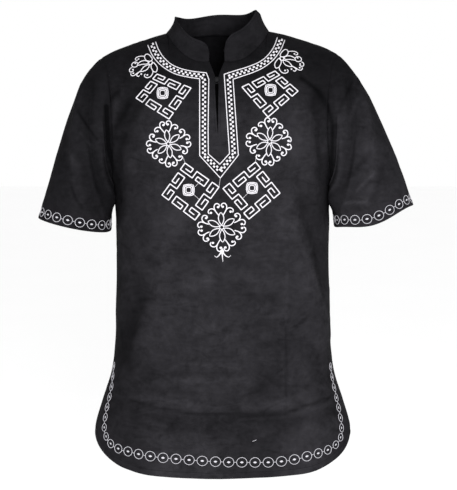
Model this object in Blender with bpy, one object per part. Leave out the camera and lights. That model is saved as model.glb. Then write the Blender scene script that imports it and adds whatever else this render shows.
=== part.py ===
"""A short-sleeved dashiki shirt in its worn shape: hollow, open at neck, cuffs and hem.

+Z is up and the front faces -Y. The origin lies midway between the two points where the collar
meets the shoulder seams. Each piece that a maker cuts is one sheet of cloth with a real wall.
Sizes are in metres.
"""

import math

import bmesh
import bpy
import numpy as np
from mathutils import Vector

# Cloth
WALL = 0.0015
SEAM_GAP = 0.0003
LEAST_SINE = 0.35  # keeps the set-back small where two sheets run on in nearly one plane

# Heights on the shirt
UNDERARM_Z = -0.262
VENT_Z = -0.575
HEM_Z = -0.7495

# Rings of the body from the underarm down. Depths run from the ring's middle to the cloth.
RING_COLUMNS = ("z", "half_width", "front_depth", "back_depth")
RINGS = (
    (-0.770, 0.2340, 0.139, 0.136),
    (-0.730, 0.2320, 0.138, 0.134),
    (-0.690, 0.2265, 0.135, 0.131),
    (-0.640, 0.2110, 0.131, 0.127),
    (-0.590, 0.1950, 0.127, 0.122),
    (-0.540, 0.1890, 0.124, 0.116),
    (-0.460, 0.1865, 0.122, 0.109),
    (-0.380, 0.1845, 0.122, 0.108),
    (-0.310, 0.1855, 0.122, 0.114),
    (-0.262, 0.1885, 0.120, 0.118),
)
RING_POWER = 2.5  # 2 is an ellipse, and more is squarer

# The arch of the cloth over the shoulders. Its ridge is the shoulder seam.
RIDGE_TOP_Z = 0.0182
RIDGE_SLOPE = 0.335
RIDGE_ROUND = 0.04
RIDGE_DROOP_X = 0.17
RIDGE_DROOP = 4.6
RIDGE_DEPTH = 0.1  # roughly how far from the ridge the arch spreads, for the seam's gap there
ARCH_POWER = {"front": 2.2, "back": 2.8}
ARCH_HALF_WIDTH = 0.240
SHOULDER_X = 0.2055
ARMHOLE_SCOOP = 0.010

# Neckline and neck slit, as heights on the centre line
NECK_X = 0.086
NECK_Z = {"front": -0.049, "back": 0.0}
NECK_POWER = 2.5
SLIT_FOOT_Z = -0.171
CLASP_Z = -0.082
CLASP_SPAN = 0.02  # radians up the arch over which the cloth's slope at the clasp is taken
SLIT_REACH = 0.33  # the share of the panel's width that gives way for the open slit
SLIT_COLUMNS = ("share_of_slit", "half_gap")
SLIT = ((0.0, 0.0), (0.35, 0.0018), (0.60, 0.0030), (0.68, 0.0016), (0.76, 0.0032), (1.0, 0.0130))

# Hem and side vents
HEM_HALF_LENGTH = 0.260
HEM_CORNER_WIDTH = 0.140
HEM_CORNER_HEIGHT = 0.070
HEM_LIFT = 0.020
VENT_HALF_GAP = 0.040

# Sleeves on the wearer's right (-X) and left (+X): the cuff's outer and inner ends as (x, z), how
# far its front hangs and waves, how far the cap reaches out, and the outer edge's lean at the cuff.
SLEEVE_COLUMNS = (
    "side",
    "outer_x",
    "outer_z",
    "inner_x",
    "inner_z",
    "front_drop",
    "wave",
    "cap_reach",
    "outer_lean",
)
SLEEVES = {
    "right": (-1, 0.3200, -0.3185, 0.1895, -0.3400, 0.0060, 0.0, 0.045, 0.283),
    "left": (1, 0.3310, -0.2960, 0.1905, -0.3330, 0.0100, 0.0050, 0.036, 0.330),
}
CUFF_DEPTH = 0.063
CUFF_Y = -0.004
CAP_FALL = 0.0315
CUFF_DROP_MEAN = 0.6
CUFF_DROP_LEAN = 0.4  # the front of the cuff hangs lower towards the body
FRONT_LEAD = (0.027, 0.0144, 0.036)  # out, forwards and down, where a sleeve leaves the chest
FRONT_LEAD_SHARPNESS = 1.5
PIT_LEAD = (0.014, 0.0, 0.013)  # and where it leaves the underarm
INNER_LEAN = 0.045
SLEEVE_STRAIGHT = 0.165
INNER_STRAIGHT_SHARE = 0.35
ROW_CROWDING = 1.15  # over 1 sets the rows closer together at the armhole
PIT_CLEARANCE = 0.0005
PIT_SHARPNESS = 4
PANEL_SIDE_SHARE = 0.93
PANEL_SIDE_DROP = 0.12

# Collar: a standing band with rounded front corners.
COLLAR_HEIGHT = 0.0405
COLLAR_TILT = 0.06
COLLAR_TOP_HALF_WIDTH = 0.0725
COLLAR_TOP_FRONT_Y = -0.083
COLLAR_TOP_BACK_Y = 0.058
COLLAR_CORNER = 0.022
COLLAR_FLARE = 1.8
COLLAR_CORNER_SHARE = 0.60
COLLAR_CLEARANCE = 0.0003
NECK_STEP = 0.08
NECK_EXTRA_DEPTH = 0.012  # how much deeper the neckline runs than the collar's rim

# Ball button and its cord loop
BUTTON_RADIUS = 0.0040
LOOP_CORD_RADIUS = 0.0008
LOOP_RADIUS = 0.0053
BUTTON_LIFT = 0.0036  # from the cloth's face to the ball's middle, as it sits in the slit
LOOP_LIFT = 0.0011

# The wearer's neck stands a little to the right of the body's middle, so the body sways the other way.
SWAY = 0.0096
SWAY_TOP_Z = -0.08
SWAY_FOOT_Z = -0.38
SWAY_HALF_WIDTH = 0.30

# The left shoulder stands a little higher.
SHOULDER_LIFT = 0.0056
LIFT_FROM_X = 0.045
LIFT_FULL_X = 0.125
LIFT_FROM_Z = -0.20
LIFT_FULL_Z = -0.05

# Grid of each panel
NECK_COLUMNS = 6
SHOULDER_COLUMNS = 9
SIDE_FIRST_TURN = 0.15 * math.pi  # the nearer a quarter turn, the more evenly the columns lie
BODY_ROWS = 15
ARCH_ROWS = 14
SLIT_FOOT_ROW = 4
LOW_ROW_CROWDING = 1.5  # rows up to the slit's foot lie closer together at the underarm
SLEEVE_ROWS = 12
COLLAR_ROWS = 5

# Largest folds. A fold is a soft trough (depth below 0) or ridge along a straight line in the front
# or back view, from (x1, z1) to (x2, z2).
FOLD_COLUMNS = ("x1", "z1", "x2", "z2", "width", "depth")
FOLDS = {
    "front": (
        (-0.128, -0.105, -0.176, -0.165, 0.016, -0.0045),
        (-0.176, -0.165, -0.182, -0.300, 0.018, -0.0045),
        (-0.110, -0.135, -0.150, -0.215, 0.020, 0.0035),
        (0.172, -0.120, 0.182, -0.300, 0.018, -0.0045),
        (0.135, -0.110, 0.150, -0.215, 0.020, 0.0035),
        (0.105, -0.285, 0.172, -0.520, 0.018, 0.0050),
        (0.140, -0.285, 0.178, -0.420, 0.014, -0.0045),
        (-0.095, -0.330, -0.140, -0.520, 0.024, 0.0040),
        (-0.128, -0.440, -0.176, -0.550, 0.016, -0.0050),
        (-0.020, -0.250, 0.010, -0.420, 0.040, -0.0030),
        (-0.145, -0.646, -0.020, -0.660, 0.014, -0.0035),
        (-0.020, -0.660, 0.080, -0.660, 0.014, -0.0035),
        (0.080, -0.660, 0.185, -0.645, 0.014, -0.0035),
    ),
    "back": (
        (-0.130, -0.110, -0.172, -0.280, 0.018, -0.0050),
        (0.130, -0.110, 0.172, -0.280, 0.018, -0.0050),
        (-0.088, -0.074, 0.080, -0.068, 0.024, -0.0030),
        (-0.105, -0.250, -0.130, -0.560, 0.024, 0.0045),
        (0.090, -0.250, 0.125, -0.560, 0.024, 0.0045),
        (0.010, -0.300, -0.015, -0.620, 0.030, -0.0045),
        (-0.050, -0.380, -0.085, -0.640, 0.020, -0.0035),
    ),
}
HEM_WAVE_COLUMNS = ("x", "width", "depth")
HEM_WAVES = {
    "front": ((-0.12, 0.030, 0.004), (0.05, 0.040, -0.004), (0.15, 0.025, 0.004)),
    "back": ((-0.13, 0.035, -0.005), (-0.03, 0.035, 0.005), (0.08, 0.035, -0.005)),
}

# Sleeve folds, from (turn1, down1) to (turn2, down2). Turns are degrees about the sleeve from its
# outermost line, positive forwards. Down is a share of the sleeve's length.
SLEEVE_FOLD_COLUMNS = ("turn1", "down1", "turn2", "down2", "width", "depth")
SLEEVE_FOLDS = (
    (25, 0.35, 95, 0.85, 0.016, 0.0035),
    (60, 0.25, 130, 0.70, 0.014, -0.0045),
    (110, 0.15, 150, 0.60, 0.014, 0.0035),
    (-40, 0.35, -100, 0.85, 0.016, 0.0035),
    (-75, 0.25, -135, 0.70, 0.014, -0.0040),
)
SLEEVE_RADIUS = 0.065
SLEEVE_LENGTH = 0.27

# Where folds and waves die away: shares of a panel's half width, of the arch and of a sleeve
FOLDS_END_BY_SIDE = 0.15
FOLDS_END_BY_RIDGE = 0.3
FOLDS_END_ON_SLEEVE = 0.3
CUFF_FOLD_LOSS = 0.6
HEM_WAVES_TOP_Z = VENT_Z + 0.05
HEM_WAVES_RISE = 0.2

CLOTH_COLOUR = (0.018, 0.018, 0.021, 1.0)
BUTTON_COLOUR = (0.012, 0.012, 0.014, 1.0)
CLOTH_ROUGHNESS = 0.9
BUTTON_ROUGHNESS = 0.5

QUARTER = math.pi / 2
RING_ANGLES = np.linspace(0.0, QUARTER, 361)


def clear_scene():
    for obj in list(bpy.data.objects):
        bpy.data.objects.remove(obj)


def curve_through(table, columns, column, at):
    """A smooth value between the rows of a table whose first column rises."""
    rows = np.array(table)
    knots, values = rows[:, 0], rows[:, columns.index(column)]
    slopes = np.gradient(values, knots)
    k = int(np.clip(np.searchsorted(knots, at) - 1, 0, len(knots) - 2))
    step = knots[k + 1] - knots[k]
    t = min(max((at - knots[k]) / step, 0.0), 1.0)
    smooth = t * t * (3 - 2 * t)
    return float(
        values[k] * (1 - smooth)
        + values[k + 1] * smooth
        + step * (slopes[k] * t * (1 - t) ** 2 - slopes[k + 1] * t * t * (1 - t))
    )


def ease(share):
    """0 to 1 with level ends."""
    share = np.clip(share, 0.0, 1.0)
    return share * share * (3 - 2 * share)


def swayed(points):
    """Points moved for the way the shirt hangs, with the neck left where it is."""
    points = np.array(points)
    x, z = points[..., 0].copy(), points[..., 2].copy()
    height = ease((z - SWAY_FOOT_Z) / (SWAY_TOP_Z - SWAY_FOOT_Z))
    near_neck = np.clip(1 - (x / SWAY_HALF_WIDTH) ** 2, 0, 1)
    points[..., 0] += SWAY * (1 - height * near_neck)
    across = ease((x - LIFT_FROM_X) / (LIFT_FULL_X - LIFT_FROM_X))
    points[..., 2] += SHOULDER_LIFT * across * ease((z - LIFT_FROM_Z) / (LIFT_FULL_Z - LIFT_FROM_Z))
    return points


def ridge(x):
    """Height of the shoulder seam's line at a distance from the middle."""
    slope = RIDGE_SLOPE * (np.sqrt(x * x + RIDGE_ROUND**2) - RIDGE_ROUND)
    return RIDGE_TOP_Z - slope - RIDGE_DROOP * np.maximum(0.0, x - RIDGE_DROOP_X) ** 2


def armhole_x(angle):
    """How far out the armhole's edge lies at an angle up the arch."""
    underarm = curve_through(RINGS, RING_COLUMNS, "half_width", UNDERARM_Z)
    out = underarm + (SHOULDER_X - underarm) * math.sin(angle) ** 2
    return out - ARMHOLE_SCOOP * math.sin(2 * angle)


def ring_at(side, level):
    """Half width, depth and share of the rise to the ridge.

    A level below 0 is metres under the underarm. Above 0 it is the angle up the arch.
    """
    z = UNDERARM_Z + min(level, 0.0)
    half_width = curve_through(RINGS, RING_COLUMNS, "half_width", z)
    depth = curve_through(RINGS, RING_COLUMNS, side + "_depth", z)
    if level <= 0:
        return half_width, depth, 0.0
    half_width += (ARCH_HALF_WIDTH - half_width) * math.sin(level) ** 2
    power = 2 / ARCH_POWER[side]
    return half_width, depth * math.cos(level) ** power, math.sin(level) ** power


def arch_level(side, z):
    """The angle up the arch at which the centre line reaches a height."""
    return math.asin(((z - UNDERARM_Z) / (RIDGE_TOP_Z - UNDERARM_Z)) ** (ARCH_POWER[side] / 2))


def edge_margin(level):
    """Cloth left off a panel's side edge: half a seam gap, and more in the open vent."""
    if level > 0:
        return 0.0
    opened = (VENT_Z - UNDERARM_Z - level) / (VENT_Z - HEM_Z)
    return SEAM_GAP / 2 + VENT_HALF_GAP * ease(opened)


def slit_half_gap(level):
    """Half the width of the neck slit at a level of the front."""
    foot, top = arch_level("front", SLIT_FOOT_Z), arch_level("front", NECK_Z["front"])
    share = (level - foot) / (top - foot)
    if share <= 0:
        return 0.0
    return float(np.interp(share, *np.array(SLIT).T))


def body_point(side, share, level):
    """A point of the body at a share, -1 to 1, of the way from the centre line to the panel's edge."""
    half_width, depth, rise = ring_at(side, level)
    across = half_width * np.sin(RING_ANGLES) ** (2 / RING_POWER)
    out = depth * np.cos(RING_ANGLES) ** (2 / RING_POWER)
    up = UNDERARM_Z + min(level, 0.0) + rise * (ridge(across) - UNDERARM_Z)
    steps = np.sqrt(np.diff(across) ** 2 + np.diff(out) ** 2 + np.diff(up) ** 2)
    length = np.concatenate([[0.0], np.cumsum(steps)])
    edge_angle = QUARTER
    if level > 0:
        reach = min(armhole_x(level) / half_width, 1.0)
        edge_angle = math.asin(reach ** (RING_POWER / 2))
    edge = np.interp(edge_angle, RING_ANGLES, length) - edge_margin(level)
    opened = slit_half_gap(level) * max(1 - abs(share) / SLIT_REACH, 0.0) ** 2 if side == "front" else 0.0
    angle = np.interp(edge * abs(share) + opened, length, RING_ANGLES)
    x = half_width * math.sin(angle) ** (2 / RING_POWER)
    y = depth * max(math.cos(angle), 0.0) ** (2 / RING_POWER)
    z = UNDERARM_Z + min(level, 0.0) + rise * (float(ridge(x)) - UNDERARM_Z)
    return np.array([math.copysign(x, share), -y if side == "front" else y, z])


def neck_share():
    """The share of a panel's half width at which its neckline meets the shoulder seam."""
    return NECK_X / SHOULDER_X


def top_level(side, share):
    """The angle up the arch where a column of cloth ends, at the neckline or the shoulder seam."""
    shoulder = QUARTER - math.asin((SEAM_GAP / 2 / RIDGE_DEPTH) ** (ARCH_POWER[side] / 2))
    r = abs(share) / neck_share()
    if r >= 1:
        return shoulder
    curve = 1 - (1 - r**NECK_POWER) ** (1 / NECK_POWER)
    centre = arch_level(side, NECK_Z[side])
    return centre + (shoulder - centre) * curve


def hem_level(share):
    """The level of the hem, which lifts towards the vents and turns up into them in a round corner."""
    z = HEM_Z + HEM_LIFT * share * share
    inwards = max(1 - (1 - abs(share)) * HEM_HALF_LENGTH / HEM_CORNER_WIDTH, 0.0)
    return z + HEM_CORNER_HEIGHT * (1 - math.sqrt(1 - inwards**2)) - UNDERARM_Z


def half_shares():
    """Column places from the centre line to the edge, closer together at neck and side."""
    neck = [neck_share() * math.sin(QUARTER * i / NECK_COLUMNS) for i in range(NECK_COLUMNS)]
    count = SHOULDER_COLUMNS
    turns = np.linspace(SIDE_FIRST_TURN, QUARTER, count + 1)
    low, high = math.sin(turns[0]), math.sin(turns[-1])
    side = [(math.sin(t) - low) / (high - low) for t in turns]
    return neck + [neck_share() + (1 - neck_share()) * s for s in side]


def arch_shares():
    """Row places up the arch, as shares. One row passes through the slit's foot."""
    foot = arch_level("front", SLIT_FOOT_Z) / arch_level("front", NECK_Z["front"])
    low = [foot * (j / SLIT_FOOT_ROW) ** LOW_ROW_CROWDING for j in range(SLIT_FOOT_ROW)]
    high = ARCH_ROWS - SLIT_FOOT_ROW
    return low + [foot + (1 - foot) * j / high for j in range(high + 1)]


def soft_fold(place, start, end, width, depth):
    """How far one fold lifts the cloth at a place near its line."""
    place, start, run = np.array(place), np.array(start), np.array(end) - np.array(start)
    t = np.clip((place - start) @ run / (run @ run), 0, 1)
    return depth * math.exp(-(((place - start - t * run) ** 2).sum() / width**2))


def fold_height(side, point, share, level, top):
    """How far the folds lift a panel at a point. They fade out before the seams."""
    x, z = point[0], point[2]
    height = 0.0
    for x1, z1, x2, z2, width, depth in FOLDS[side]:
        height += soft_fold((x, z), (x1, z1), (x2, z2), width, depth)
    low = ease((HEM_WAVES_TOP_Z - z) / HEM_WAVES_RISE)
    for centre, width, depth in HEM_WAVES[side]:
        height += depth * low * math.exp(-(((x - centre) / width) ** 2))
    sides = ease((1 - abs(share)) / FOLDS_END_BY_SIDE)
    return height * sides * (ease((top - level) / FOLDS_END_BY_RIDGE) if level > 0 else 1.0)


def sleeve_fold_height(turn, down):
    """How far the folds lift a sleeve at a turn about it and a share of the way down."""
    around = (turn + math.pi) % (2 * math.pi) - math.pi
    height = 0.0
    for turn1, down1, turn2, down2, width, depth in SLEEVE_FOLDS:
        start = (math.radians(turn1) * SLEEVE_RADIUS, down1 * SLEEVE_LENGTH)
        end = (math.radians(turn2) * SLEEVE_RADIUS, down2 * SLEEVE_LENGTH)
        height += soft_fold((around * SLEEVE_RADIUS, down * SLEEVE_LENGTH), start, end, width, depth)
    rise = ease(down / FOLDS_END_ON_SLEEVE)
    near_cuff = ease(1 - (1 - down) / FOLDS_END_ON_SLEEVE)
    return height * rise * (1 - CUFF_FOLD_LOSS * near_cuff)


def normals_of(points):
    """Unit normals of a grid of points, by the two directions of the grid."""
    along_rows, along_columns = np.gradient(points, axis=0), np.gradient(points, axis=1)
    normals = np.cross(along_columns, along_rows)
    return normals / np.linalg.norm(normals, axis=2, keepdims=True)


def panel_levels(side, share):
    """All levels of one column of a panel, from hem to neckline or shoulder seam."""
    hem = hem_level(share)
    top = top_level(side, share)
    low = [hem * (1 - j / BODY_ROWS) for j in range(BODY_ROWS)]
    return low + [top * f for f in arch_shares()]


def panel_points(side):
    """Grid of one panel's points, one row for each height, with the folds in it."""
    half = half_shares()
    shares = [-s for s in half[:0:-1]] + half
    levels = [panel_levels(side, s) for s in shares]
    rows = len(levels[0])
    grid = np.array(
        [[body_point(side, s, levels[i][j]) for i, s in enumerate(shares)] for j in range(rows)]
    )
    outward = normals_of(grid) * (1 if side == "front" else -1)
    for j in range(rows):
        for i, s in enumerate(shares):
            height = fold_height(side, grid[j, i], s, levels[i][j], levels[i][-1])
            grid[j, i] += outward[j, i] * height
    return swayed(grid)


def material(name, colour, roughness):
    made = bpy.data.materials.new(name)
    made.use_nodes = True
    shader = made.node_tree.nodes["Principled BSDF"]
    shader.inputs["Base Color"].default_value = colour
    shader.inputs["Roughness"].default_value = roughness
    shader.inputs["Metallic"].default_value = 0.0
    return made


def sheet_object(name, bm, cloth):
    """A named object from an open surface of points, thickened to the cloth's wall."""
    mesh = bpy.data.meshes.new(name)
    bm.to_mesh(mesh)
    bm.free()
    mesh.materials.append(cloth)
    mesh.shade_smooth()
    obj = bpy.data.objects.new(name, mesh)
    bpy.context.scene.collection.objects.link(obj)
    wall = obj.modifiers.new("wall", "SOLIDIFY")
    wall.thickness = WALL
    wall.offset = 0.0
    wall.use_even_offset = True
    return obj


def quad(bm, corners, outwards):
    bm.faces.new(corners if outwards else corners[::-1])


def panel_object(name, side, cloth):
    """The front or back. The front's centre column parts in two above the slit's foot."""
    grid = panel_points(side)
    rows, columns = grid.shape[:2]
    middle = columns // 2
    parted_from = BODY_ROWS + SLIT_FOOT_ROW + 1 if side == "front" else rows
    middle_x = (grid[:, middle - 1, 0] + grid[:, middle + 1, 0]) / 2
    bm = bmesh.new()
    verts = [[bm.verts.new(p) for p in row] for row in grid]
    other_lip = {}
    for j in range(parted_from, rows):
        lip = verts[j][middle].co
        other_lip[j] = bm.verts.new((2 * middle_x[j] - lip.x, lip.y, lip.z))
    for j in range(rows - 1):
        for i in range(columns - 1):
            corners = [verts[j][i], verts[j][i + 1], verts[j + 1][i + 1], verts[j + 1][i]]
            if i == middle - 1:
                corners[1] = other_lip.get(j, corners[1])
                corners[2] = other_lip.get(j + 1, corners[2])
            quad(bm, corners, side == "front")
    return sheet_object(name, bm, cloth)


def armhole_loop(hand):
    """The armhole's edge as a closed loop, down the front from the shoulder and up the back.

    Also the way from each of its points into the panel.
    """
    places = {}
    for side in ("front", "back"):
        levels = [top_level(side, 1) * f for f in arch_shares()]
        edge = [body_point(side, hand, level) for level in levels]
        inside = [body_point(side, hand * PANEL_SIDE_SHARE, level - PANEL_SIDE_DROP) for level in levels]
        places[side] = (edge, inside)
    (front, front_in), (back, back_in) = places["front"], places["back"]
    loops = []
    for f, b in ((front, back), (front_in, back_in)):
        loops.append(np.array([(f[-1] + b[-1]) / 2] + f[-2:0:-1] + [(f[0] + b[0]) / 2] + b[1:-1]))
    return loops[0], loops[1] - loops[0]


def seam_setback(edge, into_panel, lead):
    """How far the next sheet starts from a panel's edge, and which way.

    The two walls meet at an angle, so each edge point is pushed out until the walls stand clear.
    """
    along = np.roll(edge, -1, axis=0) - np.roll(edge, 1, axis=0)
    along /= np.linalg.norm(along, axis=1, keepdims=True)
    lead = lead - np.sum(lead * along, axis=1, keepdims=True) * along
    lead /= np.linalg.norm(lead, axis=1, keepdims=True)
    into_panel = into_panel - np.sum(into_panel * along, axis=1, keepdims=True) * along
    into_panel /= np.linalg.norm(into_panel, axis=1, keepdims=True)
    cosine = np.sum(lead * into_panel, axis=1)
    sine = np.maximum(np.sqrt(1 - np.minimum(cosine**2, 1.0)), LEAST_SINE)
    return lead * ((WALL / 2 * (1 + cosine) + SEAM_GAP) / sine)[:, None]


def sleeve_points(side):
    """Grid of a sleeve: one row for each ring, from the armhole to the cuff."""
    hand, outer_x, outer_z, inner_x, inner_z, front_drop, wave, cap_reach, outer_lean = SLEEVES[side]
    armhole, into_panel = armhole_loop(hand)
    count = len(armhole)
    turns = [2 * math.pi * k / count for k in range(count)]
    outer = np.array([hand * outer_x, CUFF_Y, outer_z])
    inner = np.array([hand * inner_x, CUFF_Y, inner_z])
    outer_run, inner_run = (
        np.array([hand * lean, 0.0, -math.sqrt(1 - lean**2)]) for lean in (outer_lean, INNER_LEAN)
    )
    leads, cuffs, straights = [], [], []
    for turn in turns:
        outwards, forwards = (1 + math.cos(turn)) / 2, math.sin(turn)
        cap = np.array([hand * cap_reach, 0.0, -CAP_FALL])
        front, pit = (
            np.array([hand * out, -ahead * forwards, -down]) for out, ahead, down in (FRONT_LEAD, PIT_LEAD)
        )
        ahead_share = abs(forwards) ** FRONT_LEAD_SHARPNESS
        leads.append(cap * outwards**2 + front * ahead_share + pit * (1 - outwards) ** 2)
        run = outer_run * outwards + inner_run * (1 - outwards)
        reach = INNER_STRAIGHT_SHARE + (1 - INNER_STRAIGHT_SHARE) * outwards
        straights.append(run * SLEEVE_STRAIGHT * reach)
        cuff = (outer + inner) / 2 + (outer - inner) / 2 * math.cos(turn)
        drop = front_drop * forwards * (CUFF_DROP_MEAN - CUFF_DROP_LEAN * math.cos(turn))
        cuff = cuff + np.array([0.0, -CUFF_DEPTH * forwards, -drop])
        cuff[2] += wave * math.sin(3 * turn) * max(forwards, 0.0)
        cuffs.append(cuff)
    leads = np.array(leads)
    start = armhole + seam_setback(armhole, into_panel, leads)
    low = (1 - np.cos(turns)) / 2
    start += np.outer(low**PIT_SHARPNESS, (hand * PIT_CLEARANCE, 0.0, -PIT_CLEARANCE))
    r0, r1, r2, r3 = start, start + leads, np.array(cuffs) - np.array(straights), np.array(cuffs)
    rows = []
    for j in range(SLEEVE_ROWS + 1):
        t = (j / SLEEVE_ROWS) ** ROW_CROWDING
        rows.append((1 - t) ** 3 * r0 + 3 * t * (1 - t) ** 2 * r1 + 3 * t * t * (1 - t) * r2 + t**3 * r3)
    grid = np.array(rows)
    middle = grid.mean(axis=1, keepdims=True)
    outward = grid - middle
    outward /= np.linalg.norm(outward, axis=2, keepdims=True)
    for j in range(SLEEVE_ROWS + 1):
        for k, turn in enumerate(turns):
            grid[j, k] += outward[j, k] * sleeve_fold_height(turn, j / SLEEVE_ROWS)
    return swayed(grid)


def sleeve_object(name, side, cloth):
    grid = sleeve_points(side)
    rows, columns = grid.shape[:2]
    bm = bmesh.new()
    verts = [[bm.verts.new(p) for p in row] for row in grid]
    for j in range(rows - 1):
        for i in range(columns):
            k = (i + 1) % columns
            quad(bm, [verts[j][i], verts[j][k], verts[j + 1][k], verts[j + 1][i]], SLEEVES[side][0] < 0)
    bmesh.ops.recalc_face_normals(bm, faces=bm.faces)
    return sheet_object(name, bm, cloth)


def neckline_loop():
    """The neckline from the front's right lip, round the back, to its left lip.

    Also the way from each of its points into the panel.
    """
    loops = []
    for step in (0.0, NECK_STEP):
        half = {}
        for side in ("front", "back"):
            half[side] = []
            for s in half_shares()[: NECK_COLUMNS + 1]:
                sideways = (s / neck_share()) ** 2
                share = s + step * sideways
                level = top_level(side, share) - step * (1 - sideways)
                half[side].append(body_point(side, share, level))
        front, back = half["front"], half["back"]
        loop = front[:-1] + [(front[-1] + back[-1]) / 2] + back[-2::-1]
        mirrored = [p * np.array([-1.0, 1.0, 1.0]) for p in loop]
        loops.append(np.array(mirrored + loop[-2::-1]))
    return loops[0], loops[1] - loops[0]


def collar_points():
    """Grid of the collar, one row for each height. Its front corners are round."""
    base, into_panel = neckline_loop()
    steps = np.linalg.norm(np.diff(base, axis=0), axis=1)
    length = np.concatenate([[0.0], np.cumsum(steps)])
    centre_y = (COLLAR_TOP_FRONT_Y + COLLAR_TOP_BACK_Y) / 2
    half_depth = (COLLAR_TOP_BACK_Y - COLLAR_TOP_FRONT_Y) / 2
    bearing = np.arctan2(base[:, 0] / NECK_X, (base[:, 1] - centre_y) / (half_depth + NECK_EXTRA_DEPTH))
    rim = np.stack(
        [
            COLLAR_TOP_HALF_WIDTH * np.sin(bearing),
            centre_y + half_depth * np.cos(bearing),
            base[:, 2] + COLLAR_HEIGHT + COLLAR_TILT * base[:, 0],
        ],
        axis=1,
    )
    rise = rim - base
    lead = rise * np.array([COLLAR_FLARE, COLLAR_FLARE, 1.0])
    foot = seam_setback(base, into_panel, lead)
    grid = np.zeros((COLLAR_ROWS + 1, len(base), 3))
    for i in range(len(base)):
        inwards = max(COLLAR_CORNER - min(length[i], length[-1] - length[i]), 0.0)
        drop = COLLAR_CORNER - math.sqrt(COLLAR_CORNER**2 - inwards**2)
        tall = 1 - COLLAR_CORNER_SHARE * drop / COLLAR_CORNER
        for j in range(COLLAR_ROWS + 1):
            v = j / COLLAR_ROWS * tall
            lean = 1 - (1 - v) ** COLLAR_FLARE
            grid[j, i] = base[i] + foot[i] * (1 - v) + rise[i] * np.array([lean, lean, v])
            grid[j, i, 2] += COLLAR_CLEARANCE
    return swayed(grid)


def collar_object(name, cloth):
    grid = collar_points()
    rows, columns = grid.shape[:2]
    bm = bmesh.new()
    verts = [[bm.verts.new(p) for p in row] for row in grid]
    for j in range(rows - 1):
        for i in range(columns - 1):
            quad(bm, [verts[j][i], verts[j][i + 1], verts[j + 1][i + 1], verts[j + 1][i]], True)
    bmesh.ops.recalc_face_normals(bm, faces=bm.faces)
    return sheet_object(name, bm, cloth)


def clasp_place(lift):
    """A place over the slit's closed point, lifted off the cloth's face, and the way out from it."""
    level = arch_level("front", CLASP_Z)
    here = body_point("front", 0.0, level)
    above = body_point("front", 0.0, level + CLASP_SPAN)
    up = above - here
    up[0] = 0.0
    out = np.cross(up, np.array([-1.0, 0.0, 0.0]))
    out /= np.linalg.norm(out)
    if out[1] > 0:
        out = -out
    middle = swayed([0.0, here[1], here[2]])
    return Vector(middle + out * (WALL / 2 + lift)), Vector(out)


def button_object(name, made_of):
    """A ball button over the closed point of the slit."""
    place, _ = clasp_place(BUTTON_LIFT)
    bpy.ops.mesh.primitive_uv_sphere_add(segments=16, ring_count=10, radius=BUTTON_RADIUS, location=place)
    obj = bpy.context.object
    obj.name = name
    obj.data.materials.append(made_of)
    obj.data.shade_smooth()
    return obj


def loop_object(name, made_of):
    """The cord loop that lies round the button's foot, on the cloth."""
    place, out = clasp_place(LOOP_LIFT)
    bpy.ops.mesh.primitive_torus_add(
        location=place,
        rotation=out.to_track_quat("Z", "Y").to_euler(),
        major_radius=LOOP_RADIUS,
        minor_radius=LOOP_CORD_RADIUS,
        major_segments=24,
        minor_segments=8,
    )
    obj = bpy.context.object
    obj.name = name
    obj.data.materials.append(made_of)
    obj.data.shade_smooth()
    return obj


def main():
    clear_scene()
    cloth = material("cotton", CLOTH_COLOUR, CLOTH_ROUGHNESS)
    button = material("button", BUTTON_COLOUR, BUTTON_ROUGHNESS)
    panel_object("front", "front", cloth)
    panel_object("back", "back", cloth)
    for side in SLEEVES:
        sleeve_object("sleeve_" + side, side, cloth)
    collar_object("collar", cloth)
    button_object("button", button)
    loop_object("button_loop", cloth)


main()
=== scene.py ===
"""Looks of the embroidered pullover shirt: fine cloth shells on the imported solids' form, their
creases, hems and stitching, and the raised white embroidery. Sizes are in metres, in the row frame.
"""

import math

import bmesh
import bpy
import numpy as np
from mathutils import Matrix, Vector, noise
from mathutils.bvhtree import BVHTree
from mathutils.kdtree import KDTree


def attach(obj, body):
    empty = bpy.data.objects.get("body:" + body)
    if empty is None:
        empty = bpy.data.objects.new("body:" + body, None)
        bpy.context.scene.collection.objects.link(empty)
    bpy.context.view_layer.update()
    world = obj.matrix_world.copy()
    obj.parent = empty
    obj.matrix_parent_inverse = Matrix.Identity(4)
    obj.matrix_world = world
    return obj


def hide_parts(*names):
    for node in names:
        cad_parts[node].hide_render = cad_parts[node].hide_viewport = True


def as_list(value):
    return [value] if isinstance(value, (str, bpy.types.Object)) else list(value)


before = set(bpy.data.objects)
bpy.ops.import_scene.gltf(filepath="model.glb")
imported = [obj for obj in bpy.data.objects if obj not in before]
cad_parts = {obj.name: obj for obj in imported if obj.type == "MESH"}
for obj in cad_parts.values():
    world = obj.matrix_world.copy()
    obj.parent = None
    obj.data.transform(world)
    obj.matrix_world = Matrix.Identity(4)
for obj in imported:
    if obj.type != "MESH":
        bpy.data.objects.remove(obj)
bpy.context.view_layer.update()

# ---------------------------------------------------------------- sizes shared with the solids
WALL, SOLID_WALL, COLLAR_WALL = 0.0012, 0.0015, 0.0018
UNDERARM_Z, VENT_Z, HEM_Z = -0.262, -0.575, -0.7495
RING_COLUMNS = ("z", "half_width", "front_depth", "back_depth")
RINGS = np.array(
    (
        (-0.770, 0.2340, 0.139, 0.136),
        (-0.730, 0.2320, 0.138, 0.134),
        (-0.690, 0.2265, 0.135, 0.131),
        (-0.640, 0.2110, 0.131, 0.127),
        (-0.590, 0.1950, 0.127, 0.122),
        (-0.540, 0.1890, 0.124, 0.116),
        (-0.460, 0.1865, 0.122, 0.109),
        (-0.380, 0.1845, 0.122, 0.108),
        (-0.310, 0.1855, 0.122, 0.114),
        (-0.262, 0.1885, 0.120, 0.118),
    )
)
RING_POWER = 2.5
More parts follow.
